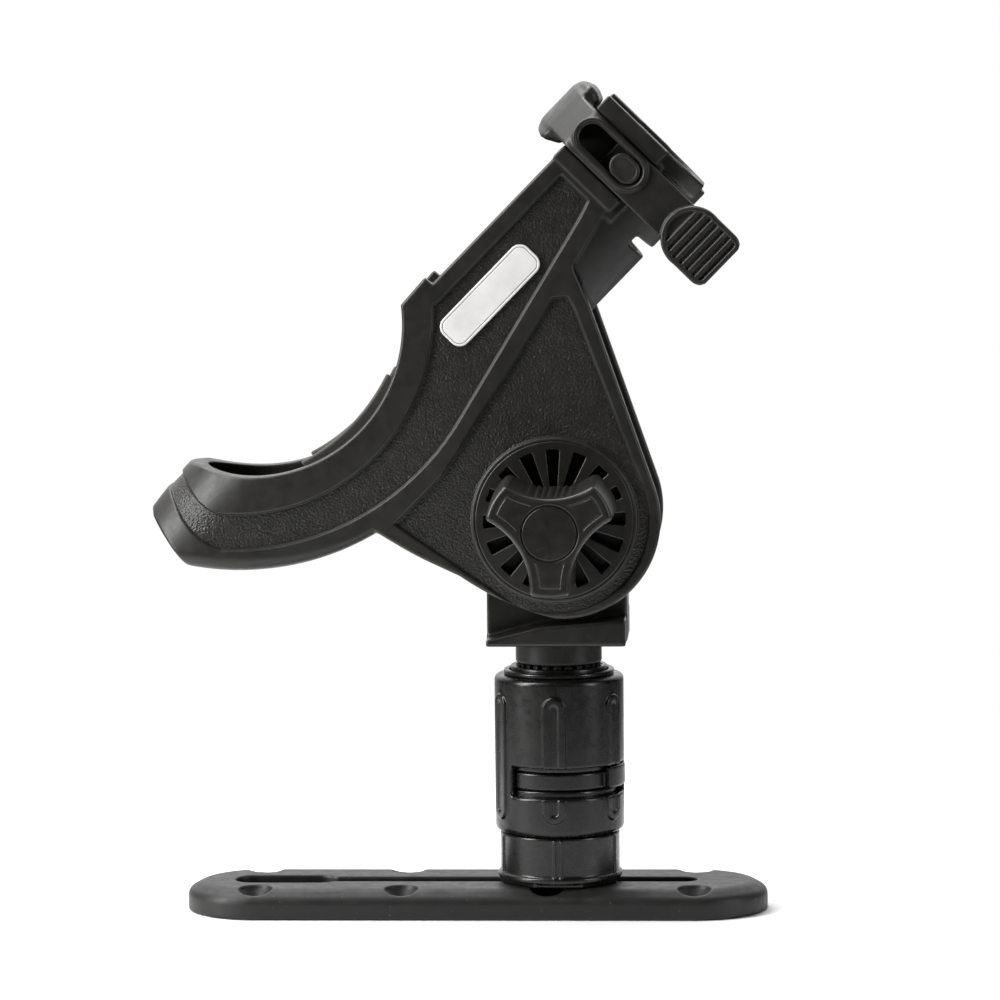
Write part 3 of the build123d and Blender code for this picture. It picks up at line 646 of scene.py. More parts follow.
def bracket_shape(x, y, z):
    r = np.hypot(x, y)
    outline = [
        (-PLATE_HALF_WIDTH, PLATE_BOTTOM), (PLATE_HALF_WIDTH, PLATE_BOTTOM), (PLATE_HALF_WIDTH, PLATE_TOP),
        *PLATE_RIDGE,
    ]
    ridge = polygon(outline, x, z)
    plate = meet(meet(ridge, np.abs(y) - PLATE_HALF_DEPTH, 0.9), np.abs(x) - PLATE_HALF_WIDTH, 0.7)
    plate = np.maximum(plate, ridge)
    top = np.where(z > PIVOT_Z, np.hypot(x, z - PIVOT_Z), np.abs(x)) - PLATE_HALF_WIDTH
    tongue = meet(np.maximum(top, PLATE_BOTTOM + 1 - z), np.abs(y) - TONGUE_HALF, 0.9)
    bracket = join(plate, tongue, 1.2)
    shaft = meet(r - SHAFT_RADIUS, between(z, SPLINE_TOP, PLATE_BOTTOM + 1), 0.6)
    bracket = join(bracket, shaft, 0.8)
    teeth = spline_shape(x, y, z, SPLINE_ROOT, SPLINE_TIP, TOOTH_HALF, SPLINE_BOTTOM, SPLINE_TOP + 0.5)
    bracket = np.minimum(bracket, teeth)
    post = meet(r - POST_RADIUS, between(z, POST_BOTTOM, SPLINE_BOTTOM + 1), 1.5)
    post = cut(post, np.maximum(POST_GROOVE_RADIUS - r, between(z, RING_BOTTOM, RING_TOP)), 0.4)
    bracket = np.minimum(bracket, post)
    return cut(bracket, np.hypot(x, z - PIVOT_Z) - TONGUE_BORE, 0.4)


BODY_OUTLINE = (
    lower_arc(LIP_INNER_CENTRE, LIP_INNER_RADIUS, -72.8, 16.3)
    + [
        (28.6, 89.5), (28.9, WALL_TOP), (94.2, WALL_TOP), (94.2, 59.8), (88.7, 61.0),
        (67.6, 56.2), (66.2, 54.8), (61.3, 43.0),
    ]
    + arc((31.4, -17.6), (5.0, -35.6), (-24.5, -23.8), 48)
    + arc((-24.5, -23.8), (-31.6, -9.0), (-36.7, 9.7), 24)[1:]
    + [
        (-44.2, 31.0), (TROUGH_SPLIT, 36.0), (-70.0, 45.0), (-95.0, 68.0),
        (-100.6, 78.0), (-99.2, 88.3), (-97.3, 100.0), (-95.9, 102.6), (-91.4, 103.2),
        (-80.0, END_FACE), (-76.0, END_FACE),
    ]
)
UPPER_FIELD = (
    lower_arc(LIP_OUTER_CENTRE, LIP_OUTER_RADIUS, 23.5, -80.0)
    + [
        (-81.0, 88.5), (-81.5, 92.0), (-81.3, 96.0), (-80.7, 99.6), (-79.5, 110.0), (-86.5, 110.0),
        (-87.0, 102.0), (-88.7, 96.0), (-89.8, 92.0), (-90.2, 88.7), (-90.4, 85.5), (-90.2, 82.6),
        (-89.4, 78.6),
    ]
    + lower_arc(BAND_CENTRE, BAND_RADIUS, -87.8, 0.0)
    + [(80.5, 65.7), (86.5, 67.6), (86.5, 80.6), (25.0, 80.6)]
)
EAR_FIELD = [
    (-39.5, 38.3), (-16.0, 38.3), (18.8, 45.5), (54.0, 53.5), (58.0, 50.0), (57.0, 46.0),
    (29.4, -13.6), (-31.9, -5.5),
]


def wall_distance(u, y, v, half):
    """Distance to the holder's side walls, which close over the trough's end in a half round."""
    middle = END_FACE - WALL_FACE
    over_end = (v > middle) & (u < TROUGH_SPLIT)
    return np.where(over_end, np.hypot(y, v - middle), np.abs(y)) - half


def field_distance(u, v):
    """Distance to the edge of the textured fields, below zero in them."""
    ear = polygon(EAR_FIELD, u, v) + 0.8
    ear = np.minimum(ear - 0.8, np.hypot(u, v) - FIELD_RADIUS)
    return np.minimum(polygon(UPPER_FIELD, u, v), ear)


def holder_shape(u, y, v):
    depth = np.abs(y)
    side = polygon(BODY_OUTLINE, u, v)
    wall = wall_distance(u, y, v, WALL_FACE)
    bowl = np.hypot(u - TROUGH_CENTRE[0], v - TROUGH_CENTRE[1]) - TROUGH_RADIUS
    tube = np.hypot(y, v - TUBE_AXIS)
    past_split = np.maximum(u - TROUGH_SPLIT, 0)
    # The underside is rounded most at the trough's end
    rounding = UNDERSIDE_ROUND_LOW + (UNDERSIDE_ROUND - UNDERSIDE_ROUND_LOW) * np.clip((-52 - u) / 30, 0, 1)
    body = meet(wall, bowl - 4 * past_split, rounding)
    body = meet(body, side, 1.0)
    # Between the ears
    gap = np.maximum(np.maximum(depth - EAR_INNER, v - GAP_TOP), between(u, TROUGH_SPLIT, GAP_RIGHT))
    gap = meet(meet(gap, TUBE_RADIUS - tube, 2.0), -bowl, 2.0)
    body = cut(body, gap, 0.8)
    pipe_span = between(u, TUBE_START, TUBE_END)
    pipe = np.maximum(tube - TUBE_RADIUS, np.maximum(pipe_span, v - TUBE_AXIS - 5))
    body = join(body, pipe, 0.8)
    # The seat of the lock gate
    full_depth = (-RAIL_FACE, RAIL_FACE)
    rail = brick(u, y, v, RAIL_SPAN, full_depth, (59.8, WALL_TOP + 0.4), 0.6)
    stop = brick(u, y, v, (STOP_LEFT, STOP_RIGHT), full_depth, (59.6, 87.4), 0.6)
    wall_in_gate = brick(u, y, v, (86.0, 112.0), (-SEAT_FACE, SEAT_FACE), (57.0, 74.0), 0.4)
    flange = np.where(v < TUBE_AXIS, tube, depth) - SEAT_FLANGE
    flange = np.maximum(flange, between(v, 42.5, TUBE_AXIS + 10))
    flange = meet(flange, between(u, STOP_LEFT + 0.4, STOP_RIGHT), 0.6)
    for part in (rail, stop, wall_in_gate, flange):
        body = join(body, part, 0.5)
    notch = brick(u, y, v, NOTCH_SPAN, (-NOTCH_HALF, NOTCH_HALF), (30, NOTCH_TOP), 1.0)
    body = cut(body, notch, 0.3)
    # Textured fields, sunk in the walls
    field = meet(field_distance(u, v), -(wall + FIELD_DEPTH), 0.5)
    body = cut(body, field, 0.45)
    # Boss round the clamp discs
    pivot = np.hypot(u, v)
    ring = meet(pivot - BOSS_RADIUS, between(depth, EAR_INNER + 1, DISC_FACE - 0.2), 0.5)
    body = join(body, ring, 0.4)
    body = cut(body, np.maximum(pivot - DISC_RADIUS + 0.2, DISC_BACK - 0.1 - depth), 0.4)
    body = np.maximum(body, BOLT_BORE - pivot)
    # Rod channel and the hollow of the trough
    channel = np.maximum(np.where(v < TUBE_AXIS, tube, depth) - CHANNEL_RADIUS, CHANNEL_START - u)
    hollow = np.maximum(bowl + TROUGH_WALL, wall_distance(u, y, v, CAVITY_HALF))
    hollow = np.maximum(hollow, between(u, *HOLLOW_SPAN))
    return cut(body, np.minimum(channel, hollow), 0.9)


def holder_grain(u, y, v):
    field = field_distance(u, v)
    wall = wall_distance(u, y, v, WALL_FACE) + FIELD_DEPTH
    return np.clip((-field - 0.35) / 0.4, 0, 1) * (np.abs(wall) < 0.35) * (np.hypot(u, v) > 28.9)


def clamp_disc_shape(x, y, z, side):
    r = np.hypot(x, z)
    depth = y * side
    disc = meet(r - DISC_RADIUS, between(depth, DISC_BACK, DISC_FACE), 0.5)
    pitch = math.tau / SLOT_COUNT
    # Angles are counted the way the slots are: from +X towards -Z
    turn = np.arctan2(-z, x) - math.radians(DISC_SLOT_TURN)
    turn = turn - pitch * np.round(turn / pitch)
    along, across = r * np.cos(turn), np.abs(r * np.sin(turn))
    wedge = across - (DISC_SLOT_HALF + (along - DISC_SLOT_SPAN[0]) / DISC_SLOT_FLARE)
    wedge = meet(wedge, between(along, *DISC_SLOT_SPAN), 0.5)
    floor = DISC_BACK + DISC_WEB - depth
    disc = cut(disc, np.maximum(wedge, floor), 0.3)
    return np.maximum(disc, BOLT_BORE - r)


def liner_shape(u, y, v):
    tube = np.hypot(y, v - TUBE_AXIS)
    depth = np.abs(y)
    outer = np.where(v < TUBE_AXIS, tube, depth)
    top = LINER_TOP_RADIUS - np.hypot(u - LINER_TOP_CENTRE[0], v - LINER_TOP_CENTRE[1])
    liner = meet(np.maximum(outer - LINER_OUTER, LINER_INNER - outer), between(u, *LINER_SPAN), 0.6)
    return meet(liner, top, 0.9)


def label_shape(u, y, v, side):
    straight_u, straight_v = LABEL_LENGTH / 2 - LABEL_CORNER, LABEL_WIDTH / 2 - LABEL_CORNER
    off_u = np.maximum(np.abs(u - LABEL_MIDDLE[0]) - straight_u, 0)
    off_v = np.maximum(np.abs(v - LABEL_MIDDLE[1]) - straight_v, 0)
    plan = np.hypot(off_u, off_v) - LABEL_CORNER
    plate = meet(plan, between(y * side, WALL_FACE - FIELD_DEPTH, WALL_FACE - LABEL_FACE_DROP), 0.25)
    line = np.maximum(np.abs(plan + 0.9) - 0.14, WALL_FACE - 0.42 - y * side)
    return cut(plate, line, 0.05)


def boss_shape(u, y, v, side):
    low, high = STUD_MIDDLE - STUD_HALF, STUD_MIDDLE + STUD_HALF
    slot = stadium(v, u - GATE_MIDDLE, low, high, GATE_SLOT_HALF - 0.2)
    boss = meet(slot, between(y * side, SEAT_FACE, STUD_FACE), 0.7)
    dish = meet(slot + 1.3, STUD_FACE - 0.15 - y * side, 0.1)
    return cut(boss, dish, 0.3)


PADDLE = [
    (91.5, 23.6), (91.7, 22.2), (92.6, 20.6), (94.2, 19.7), (110.3, 19.7), (111.9, 20.6), (112.8, 22.2),
    (113.0, 23.6),
] + arc((113.0, 32.0), (102.25, 44.4), (91.5, 32.0))
GATE_TAB = [
    (94.0, 86.5), (90.8, 92.6), (90.4, 94.6), (91.0, 96.8), (93.4, GATE_TOP + 1), (112.0, GATE_TOP + 1),
    (113.9, 96.6), (114.9, 93.5), (114.6, 91.2), (113.2, 88.2), (111.0, 86.5),
]


def gate_shape(u, y, v):
    depth = np.abs(y)
    arch = np.hypot(y, v - ARCH_CENTRE) - ARCH_RADIUS
    outer = meet(depth - GATE_FACE, arch, 1.6)
    inner = meet(depth - GATE_INNER, v - GATE_ROOF, 1.5)
    frame_part = meet(outer, between(u, GATE_LEFT, GATE_RIGHT), 0.8)
    frame_part = cut(np.maximum(frame_part, 46 - v), inner, 0.6)
    # The tab over the tube, rolled at both ends
    tab = meet(polygon(GATE_TAB, u, v), depth - TAB_HALF, 3.0)
    tab = meet(tab, np.maximum(arch, GATE_ROOF - 0.5 - v), 0.9)
    gate = join(frame_part, tab, 2.0)
    # Skirts that run in the channel
    skirt = brick(u, depth, v, (95.0, 110.0), (SKIRT_INNER, TAB_HALF), (SKIRT_LOW, GATE_ROOF + 1), 0.4)
    gate = np.minimum(gate, skirt)
    slot = stadium(v, u - GATE_MIDDLE, GATE_SLOT_LOW, GATE_SLOT_HIGH, GATE_SLOT_HALF)
    rim = meet(np.abs(slot - 1.5) - 0.75, between(depth, 29.5, GATE_FACE + 1.2), 0.5)
    gate = join(gate, rim, 0.8)
    gate = cut(gate, np.maximum(slot, GATE_INNER - 2 - depth), 0.4)
    # The strip down to the paddle, and the paddle
    strip = brick(u, y, v, (GATE_LEFT, GATE_RIGHT), (-GATE_FACE, -GATE_INNER), (33.0, 50.0), 0.8)
    gate = np.minimum(gate, strip)
    plan = polygon(PADDLE, u, v)
    pad = meet(plan, between(-y, PADDLE_BACK, PADDLE_FACE), 0.9)
    pad = cut(pad, np.maximum(plan + PADDLE_RIM, PADDLE_FACE - PADDLE_PAN + y), 0.3)
    for index in range(PADDLE_RIBS):
        middle = PADDLE_FIRST_RIB + index * PADDLE_RIB_PITCH
        rib = meet(np.abs(v - middle) - 0.85, between(-y, PADDLE_BACK + 2, PADDLE_FACE - 0.2), 0.3)
        pad = join(pad, np.maximum(rib, plan + 1.6), 0.3)
    return join(gate, pad, 0.6)


def turned(along, across, angle):
    """A point given along and across a direction."""
    heading = math.radians(angle)
    return (
        along * math.cos(heading) - across * math.sin(heading),
        along * math.sin(heading) + across * math.cos(heading),
    )


def knob_outline():
    """The knob from the front, drawn smaller by the rounding of its corners."""
    points = []
    corner, half = LOBE_CORNER - LOBE_ROUND, LOBE_HALF - LOBE_ROUND
    for lobe in (-90, 30, 150):
        last = turned(corner, half, lobe)
        following = turned(corner, -half, lobe + 120)
        points += arc(turned(corner, -half, lobe), turned(LOBE_REACH - LOBE_ROUND, 0, lobe), last, 12)
        points += arc(last, turned(KNOB_WAIST - LOBE_ROUND, 0, lobe + 60), following, 36)[1:-1]
    return points


KNOB_OUTLINE = knob_outline()


def knob_shape(x, y, z):
    r = np.hypot(x, z)
    plan = polygon(KNOB_OUTLINE, x, z) - LOBE_ROUND
    third = math.tau / 3
    heading = np.arctan2(z, x) + math.pi / 2
    turn = heading - third * np.round(heading / third)
    # Serrations along the waists, and flanks that widen towards the back
    waist = np.clip((np.abs(turn) - 0.42) * 8, 0, 1)
    serration = 0.3 * waist * np.cos(turn * 40)
    depth = -y
    back = np.clip((KNOB_FACE - 3.4 - depth) / 1.2, 0, 1)
    widening = KNOB_DRAFT * (KNOB_FACE - depth) / (KNOB_FACE - KNOB_LOBE_BACK)
    flank = plan + back * (0.3 * waist + serration) - widening
    lobes = meet(flank, between(depth, KNOB_LOBE_BACK, KNOB_FACE), 1.5)
    hub = meet(r - HUB_RADIUS, between(depth, KNOB_BACK, KNOB_LOBE_BACK + 2), 0.5)
    knob = join(lobes, hub, 0.6)
    face = KNOB_FACE - depth
    knob = cut(knob, np.maximum(np.abs(r - RING_LINE_RADIUS) - 0.3, face - 0.6), 0.15)
    # A thin line inside each lobe's edge
    line = np.maximum(np.abs(plan + LOBE_LINE_INSET) - 0.16, LOBE_LINE_INNER - r)
    line = np.maximum(line, face - 0.3)
    knob = cut(knob, line, 0.08)
    nut = regular(x, z, 6.55, 6, math.pi / 6)
    knob = np.maximum(knob, -np.maximum(nut, depth - NUT_FRONT))
    return np.maximum(knob, -np.maximum(r - 4.2, depth - BOLT_END - 2))


def bolt_shape(x, y, z):
    r = np.hypot(x, z)
    head = meet(regular(x, z, HEX_FLAT, 6, math.pi / 6), between(y, *BOLT_HEAD_SPAN), 0.3)
    crown = (r - 7.6) * 0.5 + (y - BOLT_HEAD_SPAN[1]) * 0.866
    head = meet(head, crown, 0.2)
    return np.minimum(head, meet(r - BOLT_RADIUS, between(y, -BOLT_END, 29.0), 0.4))


def washer_shape(x, y, z, low, high):
    r = np.hypot(x, z)
    return meet(meet(r - WASHER_RADIUS, between(y, low, high), 0.35), BOLT_BORE - r, 0.3)


def nut_shape(x, y, z):
    r = np.hypot(x, z)
    flats = regular(x, z, HEX_FLAT - 0.05, 6, math.pi / 6)
    nut = meet(flats, between(y, 0.1 - NUT_FRONT, -KNOB_BACK), 0.4)
    return meet(nut, BOLT_RADIUS + 0.05 - r, 0.3)


# ---- Materials ----


def node(tree, kind, settings=None, **inputs):
    """A node with its settings and inputs, which are named, or numbered as in0, in1 and so on."""
    made = tree.nodes.new("ShaderNode" + kind)
    for name, value in (settings or {}).items():
        setattr(made, name, value)
    for name, value in inputs.items():
        numbered = name.startswith("in") and name[2:].isdigit()
        socket = made.inputs[int(name[2:]) if numbered else name.replace("_", " ")]
        if isinstance(value, bpy.types.NodeSocket):
            tree.links.new(value, socket)
        else:
            socket.default_value = value
    return made


def math_node(tree, operation, a, b):
    return node(tree, "Math", {"operation": operation}, in0=a, in1=b).outputs[0]


def times(tree, a, b):
    return math_node(tree, "MULTIPLY", a, b)


def plus(tree, a, b):
    return math_node(tree, "ADD", a, b)


def spread(tree, value, low, high, from_low=0.0, from_high=1.0):
    """Maps a value to a range, and stays inside it."""
    limits = {"From_Min": from_low, "From_Max": from_high, "To_Min": low, "To_Max": high}
    return node(tree, "MapRange", None, Value=value, **limits).outputs["Result"]


def noise(tree, place, scale, detail=2.0, rough=0.5):
    made = node(tree, "TexNoise", None, Vector=place, Scale=scale, Detail=detail, Roughness=rough)
    return made.outputs["Fac"]


def blend_colour(tree, share, first, second):
    made = node(tree, "Mix", {"data_type": "RGBA"}, in0=share, in6=first, in7=second)
    return made.outputs[2]


def attribute(tree, name):
    return node(tree, "Attribute", {"attribute_name": name}).outputs["Fac"]


def start_material(name):
    material = bpy.data.materials.new(name)
    material.use_nodes = True
    tree = material.node_tree
    tree.nodes.clear()
    shader = node(tree, "BsdfPrincipled")
    output = node(tree, "OutputMaterial")
    tree.links.new(shader.outputs[0], output.inputs[0])
    place = node(tree, "TexCoord").outputs["Object"]
    return material, tree, shader, place


WARMTH = 0.05


def grey(value, warm=0.0):
    return (value * (1 + warm), value, value * (1 - 2.2 * warm), 1.0)


def moulded(name, tone, rough, skin, dust, wear=0.55, pebble=0.0):
    """Black moulded nylon: eroded skin, flow marks, rubbed edges, dust and, in the fields, a pebble grain."""
    material, tree, shader, place = start_material(name)
    flow = noise(tree, place, 55.0, 4.0, 0.62)
    cloud = noise(tree, place, 260.0, 3.0, 0.6)
    fine = noise(tree, place, 2600.0, 2.0, 0.55)
    edge = attribute(tree, "edge")
    patches = spread(tree, cloud, 0.25, 1.0, 0.35, 0.65)
    worn = times(tree, spread(tree, edge, 0.0, 1.0, 0.25, 1.1), patches)
    marks = spread(tree, flow, 0.0, 1.0, 0.3, 0.7)
    shade = blend_colour(tree, marks, grey(tone * 0.82, WARMTH), grey(tone * 1.2, WARMTH))
    shade = blend_colour(tree, times(tree, worn, wear), shade, grey(tone * 2.6, WARMTH))
    # Dust: a small round speck in some of the cells
    cells = node(tree, "TexVoronoi", None, Vector=place, Scale=420.0)
    speck = spread(tree, cells.outputs["Distance"], 1.0, 0.0, 0.10, 0.17)
    chosen = node(tree, "SeparateColor", None, Color=cells.outputs["Color"]).outputs[0]
    speck = times(tree, speck, spread(tree, chosen, 0.0, dust, 0.80, 0.84))
    shade = blend_colour(tree, speck, shade, grey(0.22, 0.03))
    gloss = spread(tree, cloud, rough - 0.06, rough + 0.08, 0.3, 0.7)
    gloss = math_node(tree, "SUBTRACT", gloss, times(tree, worn, 0.12 * wear))
    height = times(tree, fine, 0.035 * skin)
    if pebble:
        grain = attribute(tree, "grain")
        salt = noise(tree, place, 1300.0, 1.0, 0.5)
        tip = times(tree, grain, spread(tree, salt, 0.0, 0.75, 0.5, 0.72))
        shade = blend_colour(tree, tip, shade, grey(tone * 2.2, WARMTH))
        cells = node(tree, "TexVoronoi", None, Vector=place, Scale=1050.0).outputs["Distance"]
        bumps = plus(tree, times(tree, cells, -0.5), times(tree, salt, 2.0))
        height = plus(tree, height, times(tree, bumps, times(tree, grain, pebble)))
        gloss = plus(tree, gloss, times(tree, grain, -0.05))
    tree.links.new(shade, shader.inputs["Base Color"])
    tree.links.new(gloss, shader.inputs["Roughness"])
    bump = node(tree, "Bump", None, Height=height, Strength=1.0, Distance=0.001)
    tree.links.new(bump.outputs[0], shader.inputs["Normal"])
    shader.inputs["IOR"].default_value = 1.5
    shader.inputs["Specular IOR Level"].default_value = 0.42
    return material


def rubber(name):
    material, tree, shader, place = start_material(name)
    cloud = noise(tree, place, 180.0, 4.0, 0.6)
    fine = noise(tree, place, 3200.0, 3.0, 0.6)
    shade = blend_colour(tree, spread(tree, cloud, 0.0, 1.0, 0.3, 0.7), grey(0.020, 0.04), grey(0.032, 0.05))
    # Painted highlight: the liner's convex edges and rims are painted a lighter grey
    edge = spread(tree, attribute(tree, "edge"), 0.0, 0.6, 0.2, 1.2)
    shade = blend_colour(tree, edge, shade, grey(0.07, 0.05))
    tree.links.new(shade, shader.inputs["Base Color"])
    tree.links.new(spread(tree, cloud, 0.6, 0.78, 0.3, 0.7), shader.inputs["Roughness"])
    bump = node(tree, "Bump", None, Height=fine, Strength=1.0, Distance=0.00006)
    tree.links.new(bump.outputs[0], shader.inputs["Normal"])
    return material


def label_finish(name):
    material, tree, shader, place = start_material(name)
    cloud = noise(tree, place, 130.0, 4.0, 0.6)
    fine = noise(tree, place, 2200.0, 2.0, 0.5)
    shade = blend_colour(tree, spread(tree, cloud, 0.0, 1.0, 0.3, 0.7), grey(0.74, 0.01), grey(0.84, 0.01))
    pit = spread(tree, attribute(tree, "edge"), 0.85, 0.0, -1.2, -0.25)
    shade = blend_colour(tree, pit, shade, grey(0.10, 0.02))
    tree.links.new(shade, shader.inputs["Base Color"])
    tree.links.new(spread(tree, cloud, 0.28, 0.42, 0.3, 0.7), shader.inputs["Roughness"])
    bump = node(tree, "Bump", None, Height=fine, Strength=1.0, Distance=0.00002)
    tree.links.new(bump.outputs[0], shader.inputs["Normal"])
    return material


def metal(name, tone, rough, tint):
    """Plated or turned metal: fine turning lines and cloudy plating."""
    material, tree, shader, place = start_material(name)
    cloud = noise(tree, place, 320.0, 4.0, 0.65)
    stretched = node(tree, "Mapping", None, Vector=place, Scale=(900.0, 5200.0, 900.0)).outputs[0]
    lines = noise(tree, stretched, 1.0, 2.0, 0.6)
    dark = tuple(tone * 0.75 * t for t in tint) + (1.0,)
    light = tuple(tone * 1.1 * t for t in tint) + (1.0,)
    shade = blend_colour(tree, spread(tree, cloud, 0.0, 1.0, 0.3, 0.7), dark, light)
    tree.links.new(shade, shader.inputs["Base Color"])
    gloss = plus(tree, spread(tree, cloud, rough - 0.07, rough + 0.1, 0.3, 0.7), times(tree, lines, 0.06))
    tree.links.new(gloss, shader.inputs["Roughness"])
    bump = node(tree, "Bump", None, Height=lines, Strength=1.0, Distance=0.00003)
    tree.links.new(bump.outputs[0], shader.inputs["Normal"])
    shader.inputs["Metallic"].default_value = 1.0
    return material


finishes = {
    "track_nylon": moulded("track_nylon", 0.0040, 0.50, skin=0.6, dust=0.12),
    "adapter_nylon": moulded("adapter_nylon", 0.0035, 0.28, skin=0.15, dust=0.04, wear=0.12),
    "bracket_nylon": moulded("bracket_nylon", 0.0070, 0.36, skin=0.5, dust=0.10),
    "holder_nylon": moulded("holder_nylon", 0.0125, 0.44, skin=0.4, dust=0.05, pebble=0.17),
    "disc_nylon": moulded("disc_nylon", 0.0105, 0.38, skin=0.35, dust=0.04),
    "gate_nylon": moulded("gate_nylon", 0.013, 0.44, skin=0.4, dust=0.08),
    "knob_nylon": moulded("knob_nylon", 0.0115, 0.36, skin=0.4, dust=0.04),
    "liner_rubber": rubber("liner_rubber"),
    "label_plastic": label_finish("label_plastic"),
    "zinc_steel": metal("zinc_steel", 0.62, 0.30, (0.98, 1.0, 1.03)),
    "brass": metal("brass", 0.72, 0.26, (1.0, 0.78, 0.42)),
}


# ---- Pieces ----

TRACK_BOX = ((-TRACK_LENGTH / 2, -TRACK_WIDTH / 2, 0), (TRACK_LENGTH / 2, TRACK_WIDTH / 2, TRACK_HEIGHT))
BRACKET_BOX = (
    (-PLATE_HALF_WIDTH, -PLATE_HALF_DEPTH, POST_BOTTOM),
    (PLATE_HALF_WIDTH, PLATE_HALF_DEPTH, PIVOT_Z + PLATE_HALF_WIDTH),
)
HOLDER_BOX = ((-100.6, -RAIL_FACE, -35.8), (STOP_RIGHT, RAIL_FACE, END_FACE))
LINER_BOX = (
    (LINER_SPAN[0], -LINER_OUTER, TUBE_AXIS - LINER_OUTER),
    (LINER_SPAN[1], LINER_OUTER, 83.2),
)
GATE_BOX = ((90.4, -PADDLE_FACE, 19.7), (114.9, GATE_FACE + 1.2, GATE_TOP))

mould("track", track_shape, TRACK_BOX, 0.6, ROW, "track", "track_nylon", ["track_rail"])
mould("swivel_base", adapter_shape, about_z(FLANGE_RADIUS, ADAPTER_BOTTOM, CORE_TOP), 0.42, AXIS, "adapter",
      "adapter_nylon", ["adapter_base"])
mould("grip", sleeve_shape, about_z(RIB_REACH, SLEEVE_BOTTOM, SLEEVE_TOP), 0.36, AXIS, "grip",
      "adapter_nylon", ["grip_sleeve"])
mould("grip_collar", collar_shape, about_z(COLLAR_RADIUS, SLEEVE_TOP, COLLAR_TOP), 0.25, AXIS, "grip",
      "adapter_nylon", ["sleeve_collar"])
mould("lock_slider", lock_ring_shape, about_z(TAB_RADIUS, RING_BOTTOM, WINDOW_TOP - TAB_TOP_CLEARANCE), 0.3,
      AXIS, "lock", "adapter_nylon", ["lock_ring"])
mould("spline_socket", socket_shape, about_z(17.0, SOCKET_BOTTOM, HEAD_TOP), 0.36, AXIS, "socket",
      "adapter_nylon", ["gear_socket"])
mould("bracket", bracket_shape, BRACKET_BOX, 0.45, AXIS, "post", "bracket_nylon", ["post_bracket"])
mould("holder", holder_shape, HOLDER_BOX, 0.52, HOLDER, "holder", "holder_nylon", ["holder_body"],
      holder_grain)
for side, label in ((-1, "near"), (1, "far")):
    low, high = sorted((side * DISC_BACK, side * DISC_FACE))
    mould(f"tilt_disc_{label}", lambda x, y, z: clamp_disc_shape(x, y, z, side),
          about_y(DISC_RADIUS, low, high), 0.26, HOLDER, "holder", "disc_nylon", [f"clamp_disc_{label}"])
    low, high = sorted((side * (WALL_FACE - FIELD_DEPTH), side * (WALL_FACE - LABEL_FACE_DROP)))
    box = ((19.1, low, 63.4), (60.7, high, 75.2))
    mould(f"side_label_{label}", lambda x, y, z: label_shape(x, y, z, side), box, 0.16, HOLDER, "holder",
          "label_plastic", [f"label_plate_{label}"])
    low, high = sorted((side * SEAT_FACE, side * STUD_FACE))
    box = ((98, low, 60.9), (108, high, 71.7))
    mould(f"gate_stud_{label}", lambda x, y, z: boss_shape(x, y, z, side), box, 0.22, HOLDER, "holder",
          "gate_nylon", [f"gate_boss_{label}"])
mould("liner", liner_shape, LINER_BOX, 0.4, HOLDER, "holder", "liner_rubber", ["cradle_liner"])
mould("gate", gate_shape, GATE_BOX, 0.36, HOLDER, "gate", "gate_nylon", ["lock_gate"])
mould("knob", knob_shape, about_y(22.8, -KNOB_FACE, -KNOB_BACK), 0.28, PIVOT, "knob", "knob_nylon",
      ["tilt_knob"])
mould("pivot_bolt", bolt_shape, about_y(7.6, -BOLT_END, BOLT_HEAD_SPAN[1]), 0.3, PIVOT, "holder",
      "zinc_steel", ["tilt_bolt"])
for name, low, high, body, replaced in (
    ("washer_far", DISC_FACE, BOLT_HEAD_SPAN[0], "holder", "bolt_washer_far"),
    ("washer_near", -28.5, -DISC_FACE, "knob", "knob_washer"),
):
    mould(name, lambda x, y, z: washer_shape(x, y, z, low, high), about_y(WASHER_RADIUS, low, high), 0.18,
          PIVOT, body, "zinc_steel", [replaced])
mould("captive_nut", nut_shape, about_y(7.5, 0.1 - NUT_FRONT, -KNOB_BACK), 0.25, PIVOT, "knob", "brass",
      ["knob_nut"])

# Inner pieces keep their CAD shape; a narrow bevel breaks their edges
INNER_BEVEL = 0.00015
INNER_FINISH = {
    "slide_foot": "track_nylon",
    "clamp_stud": "zinc_steel",
    "stud_washer": "zinc_steel",
    "stud_nut": "zinc_steel",
    "socket_snap_ring": "zinc_steel",
    "pivot_bush": "zinc_steel",
    "bracket_tooth_ring_near": "bracket_nylon",
    "bracket_tooth_ring_far": "bracket_nylon",
    "holder_tooth_ring_near": "holder_nylon",
    "holder_tooth_ring_far": "holder_nylon",
}
for name, finish in INNER_FINISH.items():
    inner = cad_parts[name]
    inner.data.materials.clear()
    inner.data.materials.append(finishes[finish])
    weld = inner.modifiers.new("weld", "WELD")
    weld.merge_threshold = 0.00001
    bevel = inner.modifiers.new("bevel", "BEVEL")
    bevel.width = INNER_BEVEL
    bevel.segments = 2
    bevel.limit_method = "ANGLE"
    bevel.angle_limit = math.radians(40)


# ---- Floor, light and camera ----

FLOOR_HALF = 1.5
FLOOR_GAP = 0.0002
FADE_START = 0.17
FADE_END = 0.5


